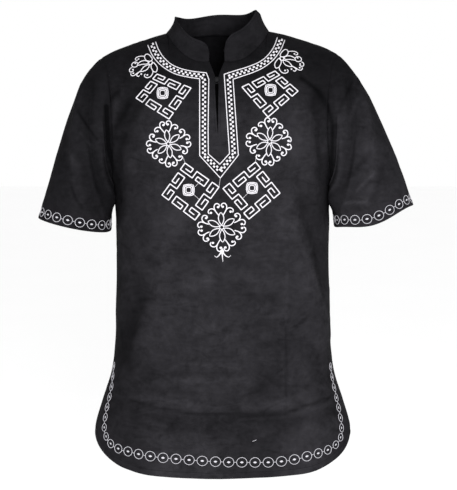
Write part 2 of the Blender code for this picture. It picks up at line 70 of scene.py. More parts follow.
RIDGE_TOP_Z, RIDGE_SLOPE, RIDGE_ROUND = 0.0182, 0.335, 0.04
RIDGE_DROOP_X, RIDGE_DROOP = 0.17, 4.6
ARCH_POWER = {"front": 2.2, "back": 2.8}
ARCH_HALF_WIDTH, SHOULDER_X, ARMHOLE_SCOOP = 0.240, 0.2055, 0.010
NECK_X, NECK_POWER = 0.086, 2.5
NECK_Z = {"front": -0.049, "back": 0.0}
NECK_SHARE = NECK_X / SHOULDER_X
SLIT_FOOT_Z, CLASP_Z, CLASP_SPAN = -0.171, -0.082, 0.02
SLIT_REACH = 0.33
# Half of the slit's gap at shares of the way from its foot up to the neckline.
SLIT = ((0.0, 0.0), (0.35, 0.0018), (0.60, 0.0030), (0.68, 0.0016), (0.76, 0.0032), (1.0, 0.0130))
HEM_HALF_LENGTH, HEM_LIFT = 0.260, 0.020
HEM_CORNER_WIDTH, HEM_CORNER_HEIGHT = 0.140, 0.070
VENT_HALF_GAP = 0.040
# The side (-1 is the wearer's right), the cuff's outer x and z, its inner x and z, how far its front
# hangs and waves, how far the cap reaches out, and the outer edge's lean at the cuff.
SLEEVES = {
    "right": (-1, 0.3200, -0.3185, 0.1895, -0.3400, 0.0060, 0.0, 0.045, 0.283),
    "left": (1, 0.3310, -0.2960, 0.1905, -0.3330, 0.0100, 0.0050, 0.036, 0.330),
}
CUFF_DEPTH, CUFF_Y, CUFF_WAVES = 0.063, -0.004, 3
CUFF_DROP_MEAN, CUFF_DROP_LEAN = 0.6, 0.4
CAP_FALL = 0.0315
# Out, forwards and down, where a sleeve leaves the chest and where it leaves the underarm.
FRONT_LEAD, PIT_LEAD, FRONT_LEAD_POWER = (0.027, 0.0144, 0.036), (0.014, 0.0, 0.013), 1.5
INNER_LEAN = 0.045
SLEEVE_STRAIGHT, INNER_STRAIGHT_SHARE = 0.165, 0.35
# Rows up the armhole: all of them, and those up to the slit's foot. A crowding over 1 draws the rows
# there, or a sleeve's, towards their start.
ARCH_ROWS, SLIT_FOOT_ROW, LOW_ROW_CROWDING, ROW_CROWDING = 14, 4, 1.5, 1.15
SLEEVE_TUCK, COLLAR_TUCK = 0.0012, 0.0022  # how far an edge is sewn in under the panels' edge
COLLAR_HEIGHT, COLLAR_TILT, COLLAR_TOP_HALF_WIDTH = 0.0405, 0.06, 0.0725
COLLAR_TOP_FRONT_Y, COLLAR_TOP_BACK_Y, NECK_EXTRA_DEPTH = -0.083, 0.058, 0.012
COLLAR_CORNER, COLLAR_CORNER_SHARE, COLLAR_FLARE = 0.022, 0.60, 1.8
# How far the collar's edge is trimmed at the sides and back, and by its two front corners.
COLLAR_SIDE_TRIM, COLLAR_FRONT_TRIM = 0.0066, {"right": 0.0045, "left": -0.0045}
COLLAR_TRIM_BEARINGS = (1.7, 2.7)
# The collar's top edge on the wearer's left curls in towards the neck: how far, over what share of
# its height, and how sharply up and round it.
COLLAR_CURL, COLLAR_CURL_SHARE, COLLAR_CURL_POWER, COLLAR_CURL_SIDE_POWER = 0.0072, 0.26, 1.6, 4
BUTTON_RADIUS, BUTTON_LIFT = 0.0040, 0.0036
LOOP_RADIUS, LOOP_CORD_RADIUS, LOOP_LIFT = 0.0053, 0.0008, 0.0011
SWAY, SWAY_TOP_Z, SWAY_FOOT_Z, SWAY_HALF_WIDTH = 0.0096, -0.08, -0.38, 0.30
SHOULDER_LIFT = 0.0056
LIFT_FROM_X, LIFT_FULL_X = 0.045, 0.125
LIFT_FROM_Z, LIFT_FULL_Z = -0.20, -0.05
QUARTER = math.pi / 2
RIDGE_LEVEL = QUARTER - 1e-4  # the angle up the arch that counts as its ridge
RING_ANGLES = np.linspace(0.0, QUARTER, 361)
LEVELS = np.concatenate([np.linspace(-0.50, 0.0, 241)[:-1], np.linspace(0.0, RIDGE_LEVEL, 240)])
TABLE_SHARES = np.linspace(0.0, 1.0, 241)
# Shares at which the cloth's rows and columns lie: between two shares stands a count of steps.
SHARE_STEPS = (0.0, 10, 0.10, 55, 0.90, 8, 0.98, 7, 1.0)
LOW_STEPS, HIGH_STEPS = (0.0, 11, 0.045, 95, 1.0), (53, 0.93, 13, 1.0)
SLIT_FOOT_STEPS = 25
SLEEVE_STEPS, SLEEVE_TURNS = (0.0, 7, 0.03, 85, 0.94, 13, 1.0), 180
COLLAR_STEPS, NECKLINE_POINTS = (0.0, 18, 0.9, 7, 1.0), 100

# ---------------------------------------------------------------- folds and creases
# Width, depth, then the line's places as (x, z) in the front or back view. A depth under 0 is a
# trough. The first of the folds are the solids' largest.
FOLDS = {
    "front": (
        (0.016, -0.0045, (-0.128, -0.105), (-0.176, -0.165)),
        (0.018, -0.0045, (-0.176, -0.165), (-0.182, -0.300)),
        (0.020, 0.0035, (-0.110, -0.135), (-0.150, -0.215)),
        (0.018, -0.0045, (0.172, -0.120), (0.182, -0.300)),
        (0.020, 0.0035, (0.135, -0.110), (0.150, -0.215)),
        (0.018, 0.0050, (0.105, -0.285), (0.172, -0.520)),
        (0.014, -0.0045, (0.140, -0.285), (0.178, -0.420)),
        (0.024, 0.0040, (-0.095, -0.330), (-0.140, -0.520)),
        (0.016, -0.0050, (-0.128, -0.440), (-0.176, -0.550)),
        (0.040, -0.0030, (-0.020, -0.250), (0.010, -0.420)),
        (0.014, -0.0035, (-0.145, -0.646), (-0.020, -0.660), (0.080, -0.660), (0.185, -0.645)),
    ),
    "back": (
        (0.018, -0.0050, (-0.130, -0.110), (-0.172, -0.280)),
        (0.018, -0.0050, (0.130, -0.110), (0.172, -0.280)),
        (0.024, -0.0030, (-0.088, -0.074), (0.080, -0.068)),
        (0.024, 0.0045, (-0.105, -0.250), (-0.130, -0.560)),
        (0.024, 0.0045, (0.090, -0.250), (0.125, -0.560)),
        (0.030, -0.0045, (0.010, -0.300), (-0.015, -0.620)),
        (0.020, -0.0035, (-0.050, -0.380), (-0.085, -0.640)),
    ),
}
CREASES = {
    "front": (
        (0.004, 0.0013, (-0.140, -0.637), (-0.030, -0.650), (0.080, -0.650), (0.180, -0.634)),
        (0.0022, 0.0009, (0.102, -0.410), (0.101, -0.675)),
        (0.007, 0.0010, (0.040, -0.540), (0.125, -0.552)),
        (0.008, 0.0009, (-0.060, -0.583), (0.060, -0.590)),
        (0.007, 0.0011, (-0.095, -0.440), (-0.040, -0.455)),
        (0.006, 0.0012, (0.115, -0.480), (0.150, -0.515)),
        (0.008, 0.0014, (-0.165, -0.315), (-0.125, -0.420)),
        (0.006, -0.0012, (-0.172, -0.345), (-0.140, -0.450)),
        (0.006, 0.0014, (0.118, -0.300), (0.168, -0.470)),
        (0.005, 0.0012, (0.150, -0.300), (0.176, -0.390)),
        (0.007, 0.0012, (-0.120, -0.200), (-0.168, -0.275)),
        (0.007, 0.0012, (0.125, -0.200), (0.170, -0.270)),
        (0.009, 0.0012, (-0.090, -0.500), (-0.150, -0.580)),
        (0.010, 0.0009, (0.020, -0.380), (0.080, -0.470)),
        (0.010, 0.0008, (-0.060, -0.360), (-0.015, -0.430)),
        (0.007, -0.0010, (-0.150, -0.600), (-0.080, -0.625)),
        (0.009, 0.0009, (0.020, -0.690), (0.110, -0.700)),
        (0.009, 0.0008, (-0.110, -0.690), (-0.030, -0.700)),
    ),
    "back": (
        (0.007, 0.0014, (-0.150, -0.300), (-0.100, -0.380)),
        (0.007, 0.0014, (0.155, -0.300), (0.110, -0.400)),
        (0.008, 0.0012, (-0.090, -0.130), (-0.150, -0.200)),
        (0.008, 0.0012, (0.090, -0.130), (0.150, -0.210)),
        (0.008, 0.0011, (-0.070, -0.420), (0.020, -0.440)),
        (0.007, 0.0011, (0.010, -0.480), (0.100, -0.470)),
        (0.007, 0.0010, (-0.120, -0.520), (-0.040, -0.540)),
        (0.008, 0.0012, (-0.140, -0.640), (0.000, -0.652), (0.150, -0.640)),
        (0.007, 0.0010, (0.060, -0.560), (0.120, -0.600)),
        (0.010, 0.0008, (-0.030, -0.200), (0.040, -0.215)),
    ),
}
# Painted shade and painted highlights along the creases and fold valleys, painted shadow in the armhole
# valleys and painted glints on the left sleeve: width, amount, then the line's places as (x, z). Amounts
# are shares of the dye's range.
PAINTED_SHADING = {
    "front": (
        (
            0.0028, -0.24, (-0.157, -0.624), (-0.100, -0.632), (-0.037, -0.640), (0.047, -0.642),
            (0.106, -0.640), (0.136, -0.631), (0.185, -0.624),
        ),
        (0.0079, 0.18, (-0.136, -0.614), (-0.045, -0.630)),
        (0.0079, 0.18, (0.039, -0.626), (0.110, -0.623)),
        (0.0056, -0.06, (-0.096, -0.638), (-0.028, -0.652), (0.103, -0.653)),
        (0.0018, 0.22, (0.107, -0.401), (0.107, -0.491)),
        (0.0018, -0.12, (0.107, -0.491), (0.107, -0.655)),
        (0.0070, -0.13, (-0.073, -0.438), (-0.042, -0.446)),
        (0.0070, -0.13, (0.044, -0.442), (0.083, -0.446)),
        (0.0123, 0.13, (-0.062, -0.426), (-0.025, -0.410)),
        (0.0140, 0.10, (0.009, -0.400), (0.069, -0.421)),
        (0.0030, 0.14, (0.112, -0.315), (0.141, -0.386), (0.168, -0.455), (0.193, -0.528)),
        (0.0070, -0.16, (0.154, -0.377), (0.170, -0.456)),
        (0.0053, -0.18, (0.178, -0.468), (0.191, -0.523)),
        (0.0170, -0.05, (-0.118, -0.385), (-0.146, -0.470)),
        (0.0160, -0.06, (-0.146, -0.470), (-0.178, -0.545)),
        (0.0028, -0.23, (0.122, -0.495), (0.144, -0.480)),
        (0.0044, -0.10, (0.069, -0.522), (0.098, -0.524)),
        (0.0032, -0.08, (-0.050, -0.517), (-0.008, -0.503), (0.014, -0.491)),
        (0.0053, 0.10, (-0.048, -0.505), (-0.018, -0.491)),
        (0.0035, 0.11, (-0.067, -0.556), (0.030, -0.560)),
        (0.0039, 0.11, (-0.079, -0.585), (0.025, -0.581)),
        (0.0035, -0.10, (-0.096, -0.573), (0.022, -0.570)),
        (0.0053, -0.11, (-0.113, -0.599), (-0.045, -0.604)),
        (0.0053, -0.11, (0.076, -0.576), (0.100, -0.604)),
        (0.0039, 0.11, (-0.134, -0.651), (-0.111, -0.662)),
        (0.0028, 0.12, (0.056, -0.679), (0.083, -0.671)),
        (0.0045, -0.16, (-0.194, -0.133), (-0.187, -0.116)),
        (0.0045, -0.12, (-0.187, -0.116), (-0.170, -0.101)),
        (0.0035, -0.10, (-0.187, -0.186), (-0.184, -0.234)),
        (0.0040, -0.08, (-0.184, -0.234), (-0.172, -0.286)),
        (0.0050, 0.12, (-0.172, -0.120), (-0.184, -0.155)),
        (0.0060, -0.12, (-0.152, -0.122), (-0.176, -0.160)),
        (0.0045, -0.16, (0.139, -0.084), (0.170, -0.105)),
        (0.0060, -0.14, (0.170, -0.105), (0.184, -0.127)),
        (0.0045, -0.18, (0.184, -0.127), (0.192, -0.158)),
        (0.0050, -0.30, (0.192, -0.158), (0.190, -0.214)),
        (0.0060, -0.30, (0.190, -0.214), (0.187, -0.304)),
        (0.0080, 0.10, (0.108, -0.118), (0.160, -0.150)),
        (0.0070, 0.08, (0.160, -0.150), (0.174, -0.200)),
        (0.0158, 0.10, (0.079, -0.151), (0.116, -0.181)),
        (0.0140, 0.05, (0.079, -0.213), (0.122, -0.251)),
        (0.0158, 0.10, (-0.150, -0.235), (-0.102, -0.261)),
        (0.0061, 0.08, (-0.164, -0.167), (-0.127, -0.144)),
    ),
    "back": (
        (0.0070, -0.16, (-0.150, -0.300), (-0.105, -0.380)),
        (0.0070, -0.16, (0.155, -0.300), (0.112, -0.400)),
        (0.0160, 0.11, (-0.100, -0.180), (-0.060, -0.260)),
        (0.0160, 0.10, (0.070, -0.170), (0.110, -0.240)),
        (0.0040, -0.14, (-0.070, -0.425), (0.020, -0.445)),
        (0.0040, -0.13, (0.010, -0.486), (0.100, -0.476)),
        (0.0030, -0.22, (-0.150, -0.648), (0.000, -0.661), (0.160, -0.648)),
        (0.0090, 0.13, (-0.120, -0.636), (-0.020, -0.648)),
        (0.0090, 0.12, (0.030, -0.648), (0.120, -0.638)),
        (0.0020, 0.13, (0.016, -0.300), (-0.008, -0.610)),
        (0.0140, 0.10, (-0.040, -0.330), (0.050, -0.350)),
    ),
    "right": (
        (0.0045, -0.26, (-0.192, -0.126), (-0.191, -0.196)),
        (0.0045, -0.28, (-0.191, -0.196), (-0.184, -0.231), (-0.173, -0.283)),
        (0.0025, -0.14, (-0.255, -0.262), (-0.247, -0.284)),
        (0.0025, -0.12, (-0.247, -0.284), (-0.238, -0.296)),
        (0.0028, -0.12, (-0.242, -0.136), (-0.228, -0.155)),
        (0.0028, -0.10, (-0.228, -0.155), (-0.210, -0.180)),
        (0.0022, 0.10, (-0.238, -0.170), (-0.222, -0.190)),
        (0.0060, 0.08, (-0.262, -0.200), (-0.246, -0.232)),
    ),
    "left": (
        (0.0045, -0.20, (0.184, -0.127), (0.192, -0.158)),
        (0.0050, -0.28, (0.192, -0.158), (0.190, -0.214)),
        (0.0065, -0.28, (0.190, -0.214), (0.187, -0.304)),
        (0.0035, -0.09, (0.224, -0.090), (0.211, -0.115), (0.201, -0.137)),
        (0.0035, 0.12, (0.233, -0.116), (0.218, -0.150)),
        (0.0027, 0.34, (0.257, -0.238), (0.230, -0.267)),
        (0.0026, 0.26, (0.245, -0.286), (0.213, -0.290)),
        (0.0022, 0.16, (0.262, -0.180), (0.256, -0.184)),
        (0.0050, -0.12, (0.250, -0.205), (0.222, -0.240)),
        (0.0055, -0.10, (0.275, -0.225), (0.262, -0.262)),
    ),
}
# Waves of the hem: x, width, depth.
HEM_WAVES = {
    "front": ((-0.12, 0.030, 0.004), (0.05, 0.040, -0.004), (0.15, 0.025, 0.004)),
    "back": ((-0.13, 0.035, -0.005), (-0.03, 0.035, 0.005), (0.08, 0.035, -0.005)),
}
# Sleeve folds: width, depth, then the line's places as (turn, down). Turns are degrees about the
# sleeve from its outermost line, positive forwards, and down is a share of its length.
SLEEVE_FOLDS = (
    (0.016, 0.0035, (25, 0.35), (95, 0.85)),
    (0.014, -0.0045, (60, 0.25), (130, 0.70)),
    (0.014, 0.0035, (110, 0.15), (150, 0.60)),
    (0.016, 0.0035, (-40, 0.35), (-100, 0.85)),
    (0.014, -0.0040, (-75, 0.25), (-135, 0.70)),
)
SLEEVE_CREASES = (
    (0.005, 0.0013, (35, 0.42), (80, 0.80)),
    (0.005, 0.0013, (70, 0.30), (125, 0.62)),
    (0.006, 0.0012, (95, 0.55), (140, 0.88)),
    (0.007, 0.0009, (15, 0.20), (45, 0.45)),
    (0.006, 0.0012, (-30, 0.30), (-80, 0.70)),
    (0.006, 0.0012, (-85, 0.35), (-140, 0.75)),
    (0.005, 0.0014, (120, 0.25), (165, 0.45)),
)
SLEEVE_RADIUS, SLEEVE_LENGTH = 0.065, 0.27
# Where folds and waves die away: shares of a panel's half width, radians of the arch, and shares of
# a sleeve.
FOLDS_END_BY_SIDE, CREASES_END_BY_SIDE, FOLDS_END_BY_RIDGE = 0.15, 0.05, 0.3
FOLDS_END_ON_SLEEVE, CUFF_FOLD_LOSS = 0.3, 0.6
HEM_WAVES_TOP_Z, HEM_WAVES_RISE = VENT_Z + 0.05, 0.2
CALM_BY_ARMHOLE, CALM_BY_COLLAR_EDGE, COLLAR_CALM = 0.03, 0.008, 0.6
UNEVEN_HEIGHT, UNEVEN_SIZE = 0.0012, 0.050
RUMPLE_HEIGHT, RUMPLE_SIZE, RUMPLE_BIAS = 0.0016, 0.013, 0.2
NOISE_PLACE = {"front": 3.1, "back": 8.7, "right": 12.9, "left": 5.3, "collar": 21.0}
# Painted shade from the relief: how much paler the ridges and darker the troughs are painted for each metre
# of height, and at most how much.
RIDGE_SHADING, MOST_RIDGE_SHADING = 45.0, 0.10
EDGE_WEAR, EDGE_WEAR_WIDTH = 0.05, 0.0015
# How strongly the mottle and the painted wrinkle shade swing the tone, the mean they swing about, and the
# least tone.
UNEVEN_DYE_AND_SHADE, MEAN_UNEVEN, LEAST_WEAR = 1.5, 1.40, 0.03
# Base tones of the body and of the collar, which is set darker, and the painted shade over the shoulders.
BODY_WEAR, SHOULDER_SHADE, COLLAR_TONE = 0.40, 0.145, 0.24
# Painted light down the middle of the body and its half width, and painted shade on the wearer's right side.
MIDDLE_HIGHLIGHT, MIDDLE_HALF_WIDTH, RIGHT_SIDE_SHADE = 0.06, 0.070, 0.10
# Each sleeve's base tone, the wearer's right one darker as painted shade, and how sharply the painted
# strokes set in on a sleeve's front.
SLEEVE_TONE_AND_SHADE, SLEEVE_TONE_RISE = {"right": 0.20, "left": 0.36}, 3
# Heights over which the painted shade over the shoulders sets in.
SHOULDER_SHADE_FROM_Z, SHOULDER_SHADE_TO_Z = -0.19, -0.05

# Where each sleeve's front lies over the body's side: how far, at what height and turn.
LAP_REACH = {"right": 0.0100, "left": 0.0110}
LAP_Z, LAP_UP, LAP_DOWN = -0.284, 0.042, 0.018
LAP_TURN, LAP_SPREAD = math.radians(165), math.radians(20)
LAP_SHARES = np.linspace(1.0, 0.0, 11)[:-1]
LAP_CLEARANCE, LEAST_LAP = 0.0005, 0.0002
# Under the arm the cuffs stand away from the body: how far, from what height and round what turn.
CUFF_SPREAD = {"right": 0.0055, "left": 0.0045}
SPREAD_FROM_Z, SPREAD_FALL, SPREAD_TURN = -0.284, 0.042, math.radians(35)
# Seams and edges: how far the cloth rolls in, and over what width.
SEAM_ROLL, SEAM_ROLL_WIDTH = 0.0009, 0.0030
UNDERARM_ROLL, UNDERARM_ROLL_WIDTH, UNDERARM_ROLL_RISE = 0.0009, 0.0022, 0.01
EDGE_ROLL, EDGE_ROLL_WIDTH = 0.0005, 0.0012
CUFF_ROLL, CUFF_ROLL_WIDTH = 0.0004, 0.0008
COLLAR_ROLL, COLLAR_ROLL_WIDTH = 0.0007, 0.0015
COLLAR_SEAM, COLLAR_SEAM_WIDTH = 0.0008, 0.0022
COLLAR_STITCH, COLLAR_STITCH_DEPTH, COLLAR_STITCH_WIDTH = 0.0045, 0.0006, 0.0009
COLLAR_MIDDLE_Y = -0.012
SEAM_LAP, SEAM_LAP_WIDTH = 0.0013, 0.0025
UNDERARM_BLEND, VENT_BLEND = 0.2, 0.02
HEM_WIDTH, CUFF_HEM_WIDTH, HEM_RISE, HEM_STEP = 0.012, 0.0096, 0.0005, 0.0016
FAR_OFF = 1.0  # further than any edge of the shirt

# ---------------------------------------------------------------- embroidery
THREAD_HEIGHT, THREAD_STEP = 0.00055, 0.0014
BAND_THREAD, CHAIN_WIDTH, JUMP_WIDTH, JUMP_STEPS = 0.0018, 0.0010, 0.0006, 24
# A thread's cross-section, as shares of half its width and of its height.
SECTION = ((-1.0, -0.35), (-0.75, 0.6), (0.0, 1.0), (0.75, 0.6), (1.0, -0.35))
END_WIDTH, END_HEIGHT = 0.6, 0.5  # shares left at a line's ends
BAND_CLEARANCE, FLOWER_CLEARANCE = 0.0012, 0.004  # from the front's seams and edges
# Lines of the band round the neck as (x, z): the inner line, then the outer. In each, the wearer's
# right side, the point under the slit, and the left side. A side is the curve down the shoulder to
# its corner, then the straight run to its foot.
BAND = (
    (
        (
            ((-0.1045, -0.0160), (-0.0981, -0.0305), (-0.0892, -0.0433), (-0.0762, -0.0547))
            + ((-0.0593, -0.0622), (-0.0396, -0.0666), (-0.0174, -0.0691)),
            ((-0.0174, -0.0691), (-0.0132, -0.0798), (-0.0143, -0.1636), (-0.0139, -0.2033)),
        ),
        (0.0052, -0.2202),
        (
            ((0.1028, -0.0085), (0.0962, -0.0249), (0.0860, -0.0391), (0.0719, -0.0505))
            + ((0.0522, -0.0589), (0.0299, -0.0658), (0.0124, -0.0715)),
            ((0.0124, -0.0715), (0.0213, -0.2024)),
        ),
    ),
    (
        (
            ((-0.1177, -0.0216), (-0.1091, -0.0390), (-0.0988, -0.0517), (-0.0845, -0.0630))
            + ((-0.0676, -0.0714), (-0.0479, -0.0761), (-0.0284, -0.0789)),
            ((-0.0284, -0.0789), (-0.0282, -0.2058)),
        ),
        (0.0060, -0.2431),
        (
            ((0.1156, -0.0128), (0.1075, -0.0304), (0.0957, -0.0462), (0.0802, -0.0588))
            + ((0.0634, -0.0672), (0.0438, -0.0741), (0.0271, -0.0797)),
            ((0.0271, -0.0797), (0.0359, -0.2049)),
        ),
    ),
)
CHECK_WIDTH, CHECK_LENGTH, CHECK_STEPS = 0.0036, 0.00365, 120
CHECK_ENDS = ((-1.0, 0.8), (-0.4, 1.0), (0.4, 1.0), (1.0, 0.8))  # along a check, and its height there
OVER_SHOULDERS = ((0.14, 0.05), (-0.14, 0.05))  # closes the band's outline above the neck
# Diamonds on the chest: corners top, right, bottom, left, then the centre, as (x, z), and whether
# the running key starts from the right corner.
DIAMONDS = (
    (
        ((-0.1002, -0.0710), (-0.0428, -0.0943), (-0.0794, -0.1456), (-0.1357, -0.1110)),
        (-0.0903, -0.1026),
        True,
    ),
    (
        ((0.0975, -0.0660), (0.1360, -0.0993), (0.0853, -0.1423), (0.0421, -0.0927)),
        (0.0898, -0.0976),
        False,
    ),
    (
        ((-0.0527, -0.2183), (0.0038, -0.2581), (-0.0362, -0.3130), (-0.0914, -0.2719)),
        (-0.0468, -0.2631),
        True,
    ),
    (
        ((0.0646, -0.2166), (0.1055, -0.2685), (0.0537, -0.3113), (0.0105, -0.2606)),
        (0.0587, -0.2597),
        False,
    ),
)
# The running key along one side, as (share of the side, share of the depth).
KEY = (
    ((0.915, 0.108), (0.755, 0.108), (0.755, 0.000), (1.000, 0.000), (1.000, 0.200), (0.650, 0.200))
    + ((0.650, 0.000), (0.300, 0.000), (0.300, 0.200), (0.562, 0.200), (0.562, 0.100), (0.388, 0.100))
)
KEY_DEPTH, KEY_ROUND, KEY_THREAD = 0.200, 0.0005, 0.0022
SQUARE_ROUND = 0.7
KEY_SQUARES = ((0.0092, 0.0017), (0.0070, 0.0022), (0.0044, 0.0017))  # half width, thread
# A corner is cut at most so far along a run, and its round keeps this share of the corner itself.
MOST_CUT, CORNER_KEPT = 0.45, 0.6
# Flower medallions: x, z, size, and turn in degrees. Their parts are in units of 1.75 mm.
MEDALLIONS = (
    (-0.0804, -0.1867, 0.945, 8.5),
    (0.0879, -0.1828, 0.985, -4.0),
    (0.0083, -0.3252, 1.0, 3.7),
)
MEDALLION_UNIT = 0.00175
RING_THREAD, PETAL_THREAD, CURL_THREAD = 0.0016, 0.0018, 0.0021
MEDALLION_RING, BULB, FAN_BULB, BULB_HEIGHT = 1.9, 0.0022, 0.0016, THREAD_HEIGHT * 1.2
RING_STEP, CURL_STEP, FAN_STEP, SPEAR_STEP = 0.5, 0.7, 0.6, 0.8
PETAL_ANGLES = (90, 270, 30, -32, 152, 212)
PETAL_FROM, PETAL_TO, PETAL_HALF_WIDTH, PETAL_SWELL, PETAL_BLUNTNESS = 2.2, 14.2, 2.6, 1.1, 0.72
PETAL_POINTS = 17
TENDRILS = (  # a quarter of the wreath: each curl's line, then its bulb
    (
        ((2.2, 11.6), (4.6, 15.2), (5.9, 18.2), (5.8, 20.9), (4.3, 22.7), (2.3, 22.7), (0.9, 21.3))
        + ((1.1, 19.8),),
        (2.2, 19.5),
    ),
    (((4.8, 15.6), (6.6, 17.7), (9.0, 18.2), (11.3, 17.1), (12.0, 15.2), (11.0, 13.5)), (9.4, 14.4)),
    (
        ((11.9, 3.6), (15.9, 5.2), (18.1, 8.1), (18.0, 10.8), (16.0, 12.4), (13.6, 11.7), (12.8, 10.0)),
        (14.2, 9.8),
    ),
    (((16.2, 5.3), (18.9, 6.3), (21.4, 5.7), (22.7, 3.7), (22.1, 1.7), (20.6, 1.0)), (19.3, 1.9)),
)
# The small spear under the lowest medallion, in the same units from its centre.
FINIAL_KNOT, FINIAL_KNOT_RADIUS = (0.3, -23.0), 0.0037
FINIAL_HOOKS = (
    ((1.2, -24.0), (2.2, -25.7), (4.2, -27.6), (6.7, -28.5), (8.9, -26.8)),
    ((-0.8, -24.0), (-1.8, -25.8), (-4.2, -28.4), (-5.8, -28.3), (-7.1, -27.1)),
)
FINIAL_SPEAR = ((0.1, -21.0), (0.6, -28.0), (1.1, -33.0))
HOOK_WIDTH, SPEAR_WIDTH, POINT_SHARPNESS = 0.0030, 0.0036, 0.8
# Half flowers at the shoulders: x, z, side (-1 is the wearer's right), reach, and the droop that
# lowers them away from the neck.
FANS = ((-0.1114, -0.0521, -1, 0.96, 0.08), (0.1090, -0.0450, 1, 1.0, 0.0))
FAN_UNIT = (0.0017, 0.00155)  # across and down, as seen from the front
FAN_PETALS = (
    ((-1.0, 2.3), (-1.4, 4.4), (0.8, 7.8), (3.6, 9.9), (6.0, 9.0), (6.5, 6.2), (4.8, 3.2), (1.6, 1.8)),
    ((2.3, 0.6), (4.7, 2.6), (7.8, 3.0), (11.0, 2.0), (13.2, 0.2), (13.4, -1.6), (8.2, -0.9), (4.2, -1.0)),
    ((1.6, -1.9), (3.9, -2.3), (6.9, -3.7), (9.3, -6.6), (9.9, -8.5), (7.4, -8.5), (3.9, -7.1), (1.7, -4.2)),
    ((-2.1, 0.3), (-4.6, -1.6), (-6.8, -5.2), (-6.9, -8.0))
    + ((-5.7, -10.4), (-2.9, -9.3), (-0.9, -5.7), (-0.5, -2.4)),
)
FAN_RING = 2.0
FAN_CURLS = (  # each curl's line, then its bulb
    (((6.6, 7.7), (10.4, 8.1), (13.6, 7.7), (16.1, 6.1), (15.7, 4.3), (13.8, 4.0)), (12.9, 5.2)),
    (
        ((-2.6, -9.3), (-2.2, -12.1), (0.0, -15.0), (3.2, -15.9), (5.7, -14.7), (6.2, -12.9), (5.0, -11.8)),
        (3.2, -12.9),
    ),
    (
        ((13.4, 0.6), (15.4, 2.2), (17.9, 1.9), (19.6, 0.3), (19.6, -1.8), (17.9, -3.1), (15.4, -3.1))
        + ((13.4, -1.6),),
        (16.0, 0.9),
    ),
    (((19.4, -3.4), (21.3, -4.4), (22.1, -6.3), (21.1, -8.2), (18.8, -8.0), (17.7, -6.6)), (18.4, -5.8)),
    (((9.9, -8.3), (13.2, -9.7), (16.4, -12.0), (18.9, -12.5), (20.5, -11.0), (20.2, -9.3)), (17.9, -9.8)),
    (((10.4, -8.0), (13.4, -10.4), (14.3, -12.1), (12.9, -13.7), (11.2, -12.8)), (9.6, -11.4)),
)
# Threads that jump from one motif to the next, as (x, z) to (x, z).
JUMPS = (
    ((0.0600, -0.6867), (0.0668, -0.6843)),
    ((-0.0560, -0.2080), (-0.0527, -0.2183)),
    ((0.0646, -0.2166), (0.0660, -0.2040)),
    ((0.0038, -0.2581), (0.0060, -0.2431)),
    ((-0.0362, -0.2580), (-0.0250, -0.2460)),
    ((-0.0400, -0.2690), (-0.0290, -0.2790)),
    ((0.0540, -0.2660), (0.0440, -0.2760)),
    ((-0.0362, -0.3130), (-0.0270, -0.3030)),
    ((0.0537, -0.3113), (0.0450, -0.3030)),
)
# The hem chain's line on both panels as (x, z), seen from the front.
HEM_CHAIN = (
    ((-0.1802, -0.5760), (-0.1820, -0.5993), (-0.1850, -0.6190), (-0.1893, -0.6373), (-0.1930, -0.6575))
    + ((-0.1946, -0.6780), (-0.1885, -0.6940), (-0.1791, -0.7020), (-0.1677, -0.7062), (-0.1519, -0.7082))
    + ((-0.1376, -0.7100), (-0.1171, -0.7118), (-0.0739, -0.7152), (-0.0284, -0.7180), (0.0154, -0.7204))
    + ((0.0643, -0.7222), (0.0980, -0.7218), (0.1281, -0.7190), (0.1475, -0.7148), (0.1662, -0.7118))
    + ((0.1820, -0.7098), (0.1958, -0.7060), (0.2085, -0.6985), (0.2145, -0.6846), (0.2134, -0.6627))
    + ((0.2094, -0.6402), (0.2046, -0.6196), (0.2003, -0.5990), (0.1968, -0.5754))
)
HEM_CHAIN_STEP = 0.004
# Pitches of the hem chain at heights up from its lowest run.
HEM_PITCH_HEIGHTS = (-0.73, -0.712, -0.695, -0.67, -0.57)
HEM_PITCHES = (0.0228, 0.0222, 0.0165, 0.0178, 0.0185)
CUFF_CHAIN_INSET, CUFF_CHAIN_PITCH = 0.013, 0.0215
CUFF_CHAIN_START = {"right": 3, "left": -2}  # columns of the sleeve's grid from its outermost line
CHAIN_RING, CHAIN_SEED, CHAIN_BAR, RING_FLATNESS = 0.79, 0.13, 0.19, 0.93  # shares of the pitch
OVAL_STEP, BAR_POINTS = 0.26, 5  # radians, and a number of places
SEED = ((-1.0, 0.25), (-0.6, 0.95), (-0.2, 1.3), (0.2, 1.3), (0.6, 0.95), (1.0, 0.25))  # along, width
SEED_HEIGHT = THREAD_HEIGHT * 1.1
KNOT_STEPS, KNOT_WIDTH_FLOOR, KNOT_EDGE = (-1.0, -0.7, -0.25, 0.25, 0.7, 1.0), 0.06, 0.45
STITCH_PITCH, STITCH_LENGTH, STITCH_WIDTH, STITCH_HEIGHT = 0.0030, 0.0023, 0.0006, 0.00028
STITCH_LIFTS = ((-1.0, -0.00010), (-0.5, 0.00012), (0.5, 0.00012), (1.0, -0.00010))  # along, lift
# How far in from an edge or a seam the rows of stitching run.
HEM_STITCH, CUFF_STITCH, SLIT_STITCH, ARMHOLE_STITCH = 0.0104, 0.0080, 0.0035, 0.005
HEM_STITCH_STEP, WALK_STEP = 0.003, 0.006
RIM_REACH = 18  # rows and columns of a panel's grid
LOOP_TWISTS, LOOP_STEPS, LOOP_SIDES = 9, 216, 8
LOOP_STRAND_OFFSET, LOOP_STRAND_RADIUS = 0.5, 0.55  # shares of the cord's radius
# The button's strands: how many, how they slant, where they change course, and how deep they lie.
STRANDS, STRAND_SLANT, STRAND_POLE, STRAND_DEPTH = 5.2, 0.6, 0.55, 0.07
BUTTON_SEGMENTS, BUTTON_RINGS = 64, 40

